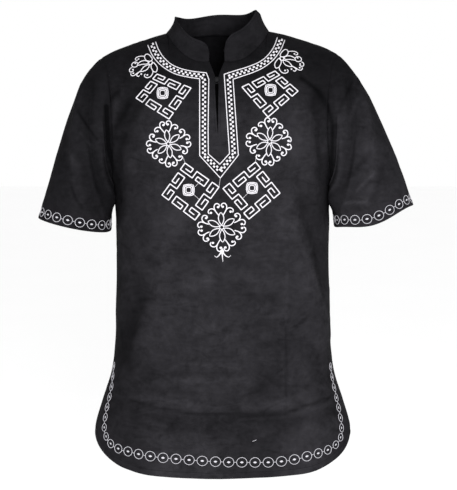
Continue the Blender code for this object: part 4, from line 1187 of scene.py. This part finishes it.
def inset_path(points, tree, inset, step):
    """A line a set distance in from a panel's hem and vent edges, as (place, outward) pairs."""
    vent_row = int(np.argmin(np.abs(points[: len(points) // 2, 0, 2] - VENT_Z)))
    columns = points.shape[1]
    order = [(j, 0) for j in range(vent_row, 0, -1)] + [(0, i) for i in range(columns)]
    order += [(j, columns - 1) for j in range(1, vent_row + 1)]
    rim = np.array([points[j, i] for j, i in order])
    inner = [i + RIM_REACH if i < columns // 2 else i - RIM_REACH for _, i in order]
    further = np.array([points[j + RIM_REACH, i] for (j, _), i in zip(order, inner)])
    both = even(np.concatenate([rim, further], axis=1), int(lengths(rim)[-1] / step) + 1)
    rim, further = both[:, :3], both[:, 3:]
    path = []
    for k, place in enumerate(rim):
        along = Vector(rim[min(k + 1, len(rim) - 1)] - rim[max(k - 1, 0)]).normalized()
        way = Vector(further[k] - place)
        way = (way - along * way.dot(along)).normalized()
        path.append(walk(tree, Vector(place), way, inset))
    return path


# ---------------------------------------------------------------- lines in the front view
def catmull(points, step, closed=False):
    """A smooth line through points, as places about a step apart."""
    points = np.array(points, float)
    if closed:
        padded = np.concatenate([points[-1:], points, points[:2]])
    else:
        padded = np.concatenate([2 * points[:1] - points[1:2], points, 2 * points[-1:] - points[-2:-1]])
    out = []
    for p0, p1, p2, p3 in zip(padded, padded[1:], padded[2:], padded[3:]):
        count = max(1, int(np.ceil(np.linalg.norm(p2 - p1) / step)))
        for t in np.arange(count) / count:
            square, cube = 2 * p0 - 5 * p1 + 4 * p2 - p3, 3 * p1 - p0 - 3 * p2 + p3
            out.append(0.5 * (2 * p1 + (p2 - p0) * t + square * t**2 + cube * t**3))
    if not closed:
        out.append(points[-1])
    return np.array(out)


def straight(points, step, closed=False):
    """Places about a step apart along straight runs, with each corner kept."""
    points = np.array(points, float)
    if closed:
        points = np.concatenate([points, points[:1]])
    out = []
    for a, b in zip(points[:-1], points[1:]):
        count = max(1, int(np.ceil(np.linalg.norm(b - a) / step)))
        out += [a + (b - a) * t for t in np.arange(count) / count]
    if not closed:
        out.append(points[-1])
    return np.array(out)


def cornered(points, radius, closed=False):
    """A line with each corner cut by a short round."""
    points = np.array(points, float)
    count = len(points)
    out = [] if closed else [points[0]]
    for k in range(0 if closed else 1, count if closed else count - 1):
        before, here, after = points[k - 1], points[k], points[(k + 1) % count]
        for other in (before, after):
            run = other - here
            out.append(here + run * min(radius / np.linalg.norm(run), MOST_CUT))
        middle = (out[-1] + out[-2]) / 2
        out.insert(-1, here * CORNER_KEPT + middle * (1 - CORNER_KEPT))
    if not closed:
        out.append(points[-1])
    return np.array(out)


def ring_of(radius, step):
    """Places round a circle, with the first place again at the end."""
    count = max(3, int(2 * math.pi * radius / step))
    angles = np.linspace(0, 2 * math.pi, count + 1)
    return radius * np.stack([np.cos(angles), np.sin(angles)], axis=1)


def spaced_places(path, pitches, closed):
    """Places about a pitch apart along (place, outward) pairs, each with the way along there."""
    places = np.array([p for p, _ in path] + ([path[0][0]] if closed else []))
    steps = np.linalg.norm(np.diff(places, axis=0), axis=1)
    paces = np.concatenate([[0.0], np.cumsum(steps / np.broadcast_to(pitches, len(path))[: len(steps)])])
    count = max(2, int(round(paces[-1])))
    at = read_at(np.linspace(0, paces[-1], count + 1), paces, places)
    if closed:
        at = at[:-1]
    out = []
    for k in range(len(at)):
        before = at[k - 1] if (k or closed) else at[k]
        after = at[(k + 1) % len(at)] if (k < len(at) - 1 or closed) else at[k]
        out.append((Vector(at[k]), Vector(after - before).normalized()))
    return out


# ---------------------------------------------------------------- thread
class Needle:
    """Sews raised satin-stitch bands, pads and single stitches into one mesh."""

    def __init__(self):
        self.bm = bmesh.new()
        self.layer = self.bm.loops.layers.uv.new("thread")

    def band(self, path, width, height, closed=False):
        """A band along (place, outward) pairs. width and height may be lists, one for each pair."""
        count = len(path)
        if count < 2:
            return
        widths = np.broadcast_to(width, count)
        heights = np.broadcast_to(height, count)
        far = lengths([place for place, _ in path] + [path[0][0]])
        rings = []
        for k, (place, outward) in enumerate(path):
            before = path[k - 1][0] if k or closed else place
            after = path[(k + 1) % count][0] if k < count - 1 or closed else place
            along = (after - before).normalized()
            side = along.cross(outward).normalized()
            up = side.cross(along)
            section = [place + side * (a * widths[k] / 2) + up * (b * heights[k]) for a, b in SECTION]
            rings.append([self.bm.verts.new(point) for point in section])
        for k in range(count if closed else count - 1):
            here, then = rings[k], rings[(k + 1) % count]
            for m in range(len(SECTION)):
                n = (m + 1) % len(SECTION)
                face = self.bm.faces.new((here[m], here[n], then[n], then[m]))
                v0, v1 = (SECTION[s][0] * widths[k] / 2 for s in (m, n))
                places = ((far[k], v0), (far[k], v1), (far[k + 1], v1), (far[k + 1], v0))
                for loop, uv in zip(face.loops, places):
                    loop[self.layer].uv = uv
        if not closed:
            for ring, u in ((rings[0][::-1], far[0]), (rings[-1], far[count - 1])):
                for loop in self.bm.faces.new(ring).loops:
                    loop[self.layer].uv = (u, 0.0)

    def line(self, path, width, closed=False):
        """A line of satin stitch with rounded ends."""
        widths, heights = np.full(len(path), width), np.full(len(path), THREAD_HEIGHT)
        if not closed:
            widths[[0, -1]] *= END_WIDTH
            heights[[0, -1]] *= END_HEIGHT
        self.band(path, widths, heights, closed)

    def knot(self, place, outward, across, radius):
        """A round pad of thread."""
        along = (across - outward * across.dot(outward)).normalized()
        steps = np.array(KNOT_STEPS)
        path = [(place + along * (s * radius), outward) for s in KNOT_STEPS]
        widths = 2 * radius * np.sqrt(np.maximum(1 - steps**2, KNOT_WIDTH_FLOOR))
        heights = BULB_HEIGHT * (KNOT_EDGE + (1 - KNOT_EDGE) * np.sqrt(1 - steps**2))
        self.band(path, widths, heights)

    def finish(self, name, finish):
        link(name, mesh_of(self.bm, name), finish)


class Hoop:
    """A flat working plane laid on the cloth: places across and up it, in its own unit."""

    def __init__(self, tree, place, outward, across, unit_size, keep=None):
        self.tree, self.place, self.unit = tree, place, unit_size
        self.keep = keep or (lambda place: True)
        self.across = (across - outward * across.dot(outward)).normalized()
        self.up = outward.cross(self.across)
        if self.up.z < 0:
            self.up = -self.up

    def at(self, a, b):
        return nearest(self.tree, self.place + (self.across * a + self.up * b) * self.unit)

    def runs(self, points):
        """A line as (place, outward) pairs, in the runs that lie on allowed cloth."""
        runs = [[]]
        for a, b in points:
            spot = self.at(a, b)
            if self.keep(spot[0]):
                runs[-1].append(spot)
            elif runs[-1]:
                runs.append([])
        return [run for run in runs if len(run) > 1]


def medallion(needle, hoop):
    """A six-petalled flower in a wreath of tendrils."""
    for run in hoop.runs(ring_of(MEDALLION_RING, RING_STEP)):
        needle.line(run, RING_THREAD)
    t = np.linspace(0, 1, PETAL_POINTS)
    reach = PETAL_FROM + (PETAL_TO - PETAL_FROM) * t
    half = PETAL_HALF_WIDTH * np.sin(math.pi * t**PETAL_SWELL) ** PETAL_BLUNTNESS
    lens = np.concatenate([np.stack([reach, half], axis=1), np.stack([reach, -half], axis=1)[-2:0:-1]])
    for angle in np.radians(PETAL_ANGLES):
        c, s = math.cos(angle), math.sin(angle)
        petal = lens @ np.array([[c, s], [-s, c]])
        for run in hoop.runs(np.concatenate([petal, petal[:1]])):
            needle.line(run, PETAL_THREAD)
    for line, bulb in TENDRILS:
        for signs in ((-1, -1), (-1, 1), (1, -1), (1, 1)):
            for run in hoop.runs(catmull(line, CURL_STEP) * signs):
                needle.line(run, CURL_THREAD)
            spot = hoop.at(*(np.array(bulb) * signs))
            if hoop.keep(spot[0]):
                needle.knot(*spot, hoop.across, BULB)


def finial(needle, hoop):
    """A small spear with two hooks."""
    needle.knot(*hoop.at(*FINIAL_KNOT), hoop.up, FINIAL_KNOT_RADIUS)
    lines = [(catmull(hook, CURL_STEP), HOOK_WIDTH) for hook in FINIAL_HOOKS]
    lines.append((straight(FINIAL_SPEAR, SPEAR_STEP), SPEAR_WIDTH))
    for line, width in lines:
        run = hoop.runs(line)[0]
        widths = width * (1 - POINT_SHARPNESS * np.arange(len(run)) / len(run))
        needle.band(run, widths, THREAD_HEIGHT)


def shoulder_fan(needle, tree, x, z, side, reach, droop):
    """Half a flower that opens away from the neck."""

    def spots(points):
        across, down = FAN_UNIT
        return [facing(tree, x + side * a * reach * across, z + (b - droop * a) * down) for a, b in points]

    needle.line(spots(ring_of(FAN_RING, RING_STEP)[:-1]), RING_THREAD, closed=True)
    for petal in FAN_PETALS:
        needle.line(spots(catmull(petal, FAN_STEP, closed=True)), PETAL_THREAD, closed=True)
    for line, bulb in FAN_CURLS:
        needle.line(spots(catmull(line, FAN_STEP)), PETAL_THREAD)
        needle.knot(*spots([bulb])[0], Vector((1, 0, 0)), FAN_BULB)


def found(tree, places):
    """The (place, outward) pairs of those places in the front view that lie on the cloth."""
    return [spot for spot in (facing(tree, *place) for place in places) if spot]


def bilinear(corners, u, v):
    """A place in a four-cornered field: u from the first corner to the second, v inwards."""
    a, b, c, d = corners
    return (1 - v) * ((1 - u) * a + u * b) + v * ((1 - u) * d + u * c)


def key_diamond(needle, tree, corners, centre, mirrored):
    """A square stood on its corner: a running key along each side, and small squares in it.

    The first side's key is turned over.
    """
    top, right, bottom, left = (np.array(p) for p in corners)
    ring = [right, top, left, bottom] if mirrored else [left, top, right, bottom]
    for k in range(4):
        field = [ring[(k + n) % 4] for n in range(4)]
        line = np.array([bilinear(field, u, v if k == 0 else KEY_DEPTH - v) for u, v in KEY])
        line = straight(cornered(line, KEY_ROUND), THREAD_STEP)
        needle.line(found(tree, line), KEY_THREAD)
    for half, width in KEY_SQUARES:
        square = half * np.array(((-1, -1), (1, -1), (1, 1), (-1, 1)))
        square = straight(cornered(square, half * SQUARE_ROUND, closed=True), THREAD_STEP, closed=True)
        needle.line(found(tree, square + centre), width, closed=True)


def neck_band(needle, tree, keep):
    """Two lines of stitch with staggered checks between them, down both sides of the slit to a point."""
    for right, tip, left in BAND:
        sides = [np.concatenate([catmull(curve, THREAD_STEP), run[1:]]) for curve, run in (right, left)]
        path = straight(np.concatenate([sides[0], [tip], sides[1][::-1]]), THREAD_STEP)
        needle.line([spot for spot in found(tree, path) if keep(spot[0])], BAND_THREAD)
    halves = []
    for k in (0, 2):
        curves = [even(catmull(line[k][0], THREAD_STEP), CHECK_STEPS) for line in BAND]
        runs = [even(line[k][1], CHECK_STEPS) for line in BAND]
        halves.append(np.concatenate([(a + b) / 2 for a, b in (curves, runs)]))
    tip = (np.array(BAND[0][1]) + np.array(BAND[1][1])) / 2
    middle = np.concatenate([halves[0], [tip], halves[1][::-1]])
    count = int(round(lengths(middle)[-1] / CHECK_LENGTH))
    nodes = even(middle, 2 * count + 1)
    for k, (a, m, b) in enumerate(zip(nodes[::2], nodes[1::2], nodes[2::2])):
        run = unit(b - a)
        side = np.array([run[1], -run[0]]) * (CHECK_WIDTH / 2 if k % 2 else -CHECK_WIDTH / 2)
        ends = found(tree, [m + side + run * s * CHECK_LENGTH / 2 for s, _ in CHECK_ENDS])
        if len(ends) == len(CHECK_ENDS) and keep(ends[0][0]):
            needle.band(ends, CHECK_WIDTH, [THREAD_HEIGHT * h for _, h in CHECK_ENDS])


def chain(needle, tree, path, pitches, closed=False):
    """Rings with a seed in each, joined by short bars, and smaller where they are closer together."""
    spots = spaced_places(path, pitches, closed)
    oval = ring_of(1.0, OVAL_STEP)[:-1] * (CHAIN_RING / 2, RING_FLATNESS * CHAIN_RING / 2)
    bar = np.linspace(0.5 - CHAIN_BAR / 2, 0.5 + CHAIN_BAR / 2, BAR_POINTS)
    for k, (place, along) in enumerate(spots):
        at_end = k == len(spots) - 1 and not closed
        other = spots[k - 1 if at_end else (k + 1) % len(spots)][0]
        pitch = (other - place).length
        hoop = Hoop(tree, *nearest(tree, place), along, pitch)
        needle.line([hoop.at(a, b) for a, b in oval], CHAIN_WIDTH, closed=True)
        seed = [hoop.at(s * CHAIN_SEED, 0.0) for s, _ in SEED]
        needle.band(seed, [pitch * CHAIN_SEED * w for _, w in SEED], SEED_HEIGHT)
        if not at_end:
            needle.line([hoop.at(a, 0.0) for a in bar], CHAIN_WIDTH)


def stitch_row(needle, tree, path, closed=False):
    """A row of single machine stitches."""
    for place, along in spaced_places(path, STITCH_PITCH, closed):
        run = []
        for s, lift in STITCH_LIFTS:
            spot, outward = nearest(tree, place + along * (s * STITCH_LENGTH / 2))
            run.append((spot + outward * lift, outward))
        needle.band(run, STITCH_WIDTH, STITCH_HEIGHT)


# ---------------------------------------------------------------- the clasp
def clasp_place(lift):
    """A place over the slit's closed point, lifted off the cloth, and the way out from it."""
    level = arch_level("front", CLASP_Z)
    here, above = (body_points("front", 0.0, level + rise) for rise in (0.0, CLASP_SPAN))
    _, up_y, up_z = above - here
    out = unit(np.array([0.0, -up_z, up_y]))
    middle = swayed(np.array([0.0, here[1], here[2]]))
    return Vector(middle + out * (SOLID_WALL / 2 + lift)), Vector(out)


def ball_button(finish):
    """A ball knotted from cord, in the slit's closed point."""
    place, out = clasp_place(BUTTON_LIFT)
    bpy.ops.mesh.primitive_uv_sphere_add(
        segments=BUTTON_SEGMENTS, ring_count=BUTTON_RINGS, radius=BUTTON_RADIUS
    )
    ball = bpy.context.object
    ball.name = "button_knot"
    for vertex in ball.data.vertices:
        x, y, z = vertex.co.normalized()
        across = x + STRAND_SLANT * z if abs(y) > STRAND_POLE else z - STRAND_SLANT * y
        groove = 1 - math.sqrt(abs(math.sin(STRANDS * across)))
        vertex.co = vertex.co * (1 - STRAND_DEPTH * groove)
    ball.data.transform(Matrix.Translation(place) @ out.to_track_quat("Z", "Y").to_matrix().to_4x4())
    ball.data.materials.append(finish)
    ball.data.shade_smooth()
    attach(ball, "root")
    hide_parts("button")


def cord_loop(finish):
    """The two-strand cord loop round the button's foot."""
    place, out = clasp_place(LOOP_LIFT)
    side = Vector((1, 0, 0))
    up = out.cross(side).normalized()
    bm = bmesh.new()
    for strand in (0.0, math.pi):
        path = []
        for angle in np.arange(LOOP_STEPS) * (2 * math.pi / LOOP_STEPS):
            twist = angle * LOOP_TWISTS + strand
            radial = side * math.cos(angle) + up * math.sin(angle)
            offset = (radial * math.cos(twist) + out * math.sin(twist)) * LOOP_STRAND_OFFSET
            path.append(place + radial * LOOP_RADIUS + offset * LOOP_CORD_RADIUS)
        loop_tube(bm, path, out, LOOP_CORD_RADIUS * LOOP_STRAND_RADIUS)
    obj = link("button_loop_cord", mesh_of(bm, "button_loop_cord"), finish)
    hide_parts("button_loop")


def loop_tube(bm, path, axis, radius):
    """A closed round strand that runs round an axis."""
    count = len(path)
    rings = []
    for k, place in enumerate(path):
        along = (path[(k + 1) % count] - path[k - 1]).normalized()
        side = along.cross(axis).normalized()
        over = side.cross(along)
        angles = np.arange(LOOP_SIDES) * (2 * math.pi / LOOP_SIDES)
        section = [place + (side * math.cos(a) + over * math.sin(a)) * radius for a in angles]
        rings.append([bm.verts.new(point) for point in section])
    for k in range(count):
        here, then = rings[k], rings[(k + 1) % count]
        for m in range(LOOP_SIDES):
            n = (m + 1) % LOOP_SIDES
            bm.faces.new((here[m], here[n], then[n], then[m]))
    bmesh.ops.recalc_face_normals(bm, faces=bm.faces)


# ---------------------------------------------------------------- finishes
class Finish:
    """A material whose nodes are added one at a time."""

    def __init__(self, name, roughness, gloss=0.5):
        self.material = bpy.data.materials.new(name)
        self.material.use_nodes = True
        self.nodes, self.links = self.material.node_tree.nodes, self.material.node_tree.links
        self.shader = self.nodes["Principled BSDF"]
        self.shader.inputs["Roughness"].default_value = roughness
        self.shader.inputs["Specular IOR Level"].default_value = gloss
        self.place = self.add("TexCoord").outputs["Object"]

    def add(self, kind, inputs=(), **settings):
        node = self.nodes.new("ShaderNode" + kind)
        for key, value in settings.items():
            setattr(node, key, value)
        for socket, value in dict(inputs).items():
            if isinstance(value, bpy.types.NodeSocket):
                self.links.new(value, node.inputs[socket])
            else:
                node.inputs[socket].default_value = value
        return node

    def set(self, socket, value):
        self.links.new(value, self.shader.inputs[socket])

    def math(self, operation, a, b=0.0):
        return self.add("Math", {0: a, 1: b}, operation=operation).outputs[0]

    def weighted(self, *parts):
        """The sum of (share, weight) pairs."""
        total, *others = (self.math("MULTIPLY", share, weight) for share, weight in parts)
        for part in others:
            total = self.math("ADD", total, part)
        return total

    def noise(self, place, scale, detail=2.0, **more):
        sockets = {"Vector": place, "Scale": scale, "Detail": detail, **more}
        return self.add("TexNoise", sockets).outputs["Fac"]

    def waves(self, place, pitch, direction, distortion, detail):
        sockets = {"Vector": place, "Scale": WAVE_PERIOD / pitch, "Distortion": distortion, "Detail": detail}
        return self.add("TexWave", sockets, bands_direction=direction).outputs["Fac"]

    def stretched(self, place, scale, turn=0.0):
        sockets = {"Vector": place, "Scale": scale, "Rotation": (0.0, turn, 0.0)}
        return self.add("Mapping", sockets).outputs[0]

    def colour(self, share, low, high):
        """The surface's colour, from low to high as a share goes from 0 to 1."""
        ramp = self.add("ValToRGB", {"Fac": share})
        ramp.color_ramp.elements[0].color = (*low, 1.0)
        ramp.color_ramp.elements[1].color = (*high, 1.0)
        self.set("Base Color", ramp.outputs["Color"])

    def relief(self, height, strength, distance):
        bump = self.add("Bump", {"Height": height, "Strength": strength, "Distance": distance})
        self.set("Normal", bump.outputs["Normal"])


def cotton_finish():
    """Black plain-weave cotton, with painted shade and highlights along its creases, shoulders and sides,
    painted wrinkle shade, and paler from wear along its edges.
    """
    made = Finish("black_cotton", COTTON_ROUGHNESS, COTTON_GLOSS)
    cloth = made.add("UVMap", uv_map="cloth").outputs["UV"]
    weave = made.math("MULTIPLY", *(made.waves(cloth, YARN_PITCH, way, *WEAVE_WAVES) for way in ("X", "Y")))
    slub = made.math(
        "MULTIPLY", *(made.noise(made.stretched(cloth, scale), 1.0) for scale in SLUB_SCALES)
    )
    # Painted wrinkle shade: stretched noise that darkens and lightens the dye in short streaks, as fine
    # wrinkles would under light.
    wrinkle_shade = made.noise(made.stretched(made.place, WRINKLE_SHADE_SCALE, WRINKLE_SHADE_TURN), 1.0, **WRINKLE_SHADE_NOISE)
    mottle = [(made.noise(made.place, scale, detail), weight) for scale, detail, weight in DYE_NOISES]
    uneven = made.weighted(*mottle, (wrinkle_shade, WRINKLE_SHADE_WEIGHT), (slub, SLUB_WEIGHT))
    patchy = made.math("ADD", made.math("MULTIPLY", uneven, UNEVEN_DYE_AND_SHADE), 1.0 - UNEVEN_DYE_AND_SHADE * MEAN_UNEVEN)
    # The tone attribute holds painted shade and highlights as well as edge wear.
    wear_and_shade = made.add("Attribute", attribute_name="wear_and_shade").outputs["Fac"]
    tone = made.math("MULTIPLY", made.math("MAXIMUM", wear_and_shade, LEAST_WEAR), patchy)
    made.colour(tone, COTTON_DARK, COTTON_LIGHT)
    broad = mottle[0][0]
    rough = made.math("ADD", made.math("MULTIPLY", broad, ROUGHNESS_SPREAD), COTTON_ROUGHNESS)
    made.set("Roughness", rough)
    made.relief(made.math("ADD", weave, made.math("MULTIPLY", slub, SLUB_HEIGHT)), *WEAVE_BUMP)
    return made.material


def thread_finish(name, light, dark, roughness, pitch, gloss):
    """Twisted thread laid side by side across each line of stitching."""
    made = Finish(name, roughness, gloss)
    along = made.add("UVMap", uv_map="thread").outputs["UV"]
    strands = made.waves(along, pitch, "X", *THREAD_WAVES)
    uneven = made.noise(made.place, THREAD_NOISE)
    made.colour(made.weighted((strands, THREAD_STRANDS_WEIGHT), (uneven, THREAD_NOISE_WEIGHT)), dark, light)
    made.relief(strands, *THREAD_BUMP)
    return made.material


def cord_finish():
    """Dull black cord of the ball button and its loop."""
    made = Finish("black_cord", CORD_ROUGHNESS, CORD_GLOSS)
    plies = made.waves(made.place, PLY_PITCH, "DIAGONAL", *CORD_WAVES)
    made.colour(plies, *CORD_COLOURS)
    made.relief(plies, *CORD_BUMP)
    return made.material


def floor_finish():
    made = Finish("pale_floor", FLOOR_ROUGHNESS)
    made.colour(made.noise(made.place, FLOOR_NOISE), *FLOOR_COLOURS)
    return made.material


# ---------------------------------------------------------------- the shirt
cotton = cotton_finish()
threads = {colour: thread_finish(*row) for colour, row in THREADS.items()}
cord = cord_finish()

cloths = {side: panel(side, cotton) for side in ("front", "back")}
panels = [tree_of(obj) for obj, _ in cloths.values()]
cloths.update({side: sleeve(side, cotton, panels) for side in ("right", "left")})
cloths["collar"] = collar(cotton)
trees = {part: tree_of(obj) for part, (obj, _) in cloths.items()}
grids = {part: points for part, (_, points) in cloths.items()}
dressed = {part: [] for part in cloths}

clear_of_seams = edge_keeper(grids["front"], FLOWER_CLEARANCE)
right_side, tip, left_side = BAND[1]
right_line, left_line = ([*curve, run[-1]] for curve, run in (right_side, left_side))
outlines = [[*right_line, tip, *left_line[::-1], *OVER_SHOULDERS]]
outlines += [list(corners) for corners, _, _ in DIAMONDS]


def on_open_cloth(place):
    """Whether a flower's thread may lie at a place: clear of the seams, the band and the diamonds."""
    taken = any(inside_outline(outline, place.x, place.z) for outline in outlines)
    return clear_of_seams(place) and not taken


def sewn(needle, name, thread, part):
    """Ends a needle's work as a piece that goes with one of the cloths."""
    needle.finish(name, threads[thread])
    dressed[part].append(name)


# The chest
needle, tree = Needle(), trees["front"]
neck_band(needle, tree, edge_keeper(grids["front"], BAND_CLEARANCE))
for x, z, size, turn in MEDALLIONS:
    across = Vector((math.cos(math.radians(turn)), 0, math.sin(math.radians(turn))))
    medallion(needle, Hoop(tree, *facing(tree, x, z), across, MEDALLION_UNIT * size, on_open_cloth))
finial(needle, Hoop(tree, *facing(tree, *MEDALLIONS[-1][:2]), Vector((1, 0, 0)), MEDALLION_UNIT))
for fan in FANS:
    shoulder_fan(needle, tree, *fan)
for diamond in DIAMONDS:
    key_diamond(needle, tree, *diamond)
for ends in JUMPS:
    needle.band(found(tree, even(ends, JUMP_STEPS)), JUMP_WIDTH, JUMP_WIDTH / 2)
sewn(needle, "embroidery_chest", "white", "front")

# Hems, cuffs and seams
hem_line = catmull(HEM_CHAIN, HEM_CHAIN_STEP)
hem_pitches = np.interp(hem_line[:, 1], HEM_PITCH_HEIGHTS, HEM_PITCHES)
for side, way in (("front", 1), ("back", -1)):
    needle, tree, points = Needle(), trees[side], grids[side]
    chain(needle, tree, [facing(tree, x, z, way) for x, z in hem_line], hem_pitches)
    sewn(needle, "embroidery_hem_" + side, "pale", side)
    needle = Needle()
    stitch_row(needle, tree, inset_path(points, tree, HEM_STITCH, HEM_STITCH_STEP))
    for path in [*(slit_paths(points, tree) if side == "front" else ()), *seam_paths(points, tree)]:
        stitch_row(needle, tree, path)
    sewn(needle, "stitching_" + side, "black", side)
for side, start in CUFF_CHAIN_START.items():
    needle, tree, points = Needle(), trees[side], grids[side]
    path = row_path(points, tree, CUFF_CHAIN_INSET, range(SLEEVE_TURNS))
    chain(needle, tree, path[start:] + path[:start], CUFF_CHAIN_PITCH, closed=True)
    sewn(needle, "embroidery_cuff_" + side, "pale", side)
    needle = Needle()
    stitch_row(needle, tree, row_path(points, tree, CUFF_STITCH, range(SLEEVE_TURNS)), closed=True)
    sewn(needle, "stitching_sleeve_" + side, "black", side)
needle, tree, points = Needle(), trees["collar"], grids["collar"]
length = edge_distance(points, 1, True)[0]
inner = np.flatnonzero((length > COLLAR_STITCH) & (length < length[-1] - COLLAR_STITCH))
stitch_row(needle, tree, row_path(points, tree, COLLAR_STITCH, inner))
sewn(needle, "stitching_collar", "black", "collar")

for part, (cloth, _) in cloths.items():
    flat, area, held = CUTS[cloth.name]
    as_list(dressed[part])

ball_button(cord)
cord_loop(cord)

# ---------------------------------------------------------------- floor, light and camera
bpy.ops.object.select_all(action="DESELECT")
bpy.ops.mesh.primitive_plane_add(size=FLOOR_SIZE, location=(0, 0, FLOOR_Z))
floor = bpy.context.object
floor.name = "floor"
floor.data.materials.append(floor_finish())

world = bpy.data.worlds.new("studio")
bpy.context.scene.world = world
world.use_nodes = True
world.node_tree.nodes["Background"].inputs["Color"].default_value = (1.0, 1.0, 1.0, 1.0)
world.node_tree.nodes["Background"].inputs["Strength"].default_value = WORLD_STRENGTH


def aim(obj, place, target):
    """Puts a light or camera at a place, looking at another."""
    obj.location = place
    obj.rotation_euler = (Vector(target) - Vector(place)).to_track_quat("-Z", "Y").to_euler()
    bpy.context.scene.collection.objects.link(obj)


for name, place, size, power in LIGHTS:
    lamp = bpy.data.lights.new(name, "AREA")
    lamp.shape = "SQUARE"
    lamp.size = size
    lamp.energy = power
    aim(bpy.data.objects.new(name, lamp), place, CAMERA_TARGET)

bpy.context.scene.view_settings.view_transform = "Standard"

camera = bpy.data.objects.new("camera", bpy.data.cameras.new("camera"))
camera.data.lens = CAMERA_LENS
rise = math.radians(CAMERA_RISE)
away = Vector((0, -math.cos(rise), math.sin(rise))) * CAMERA_FAR
aim(camera, Vector(CAMERA_TARGET) + away, CAMERA_TARGET)
bpy.context.scene.camera = camera
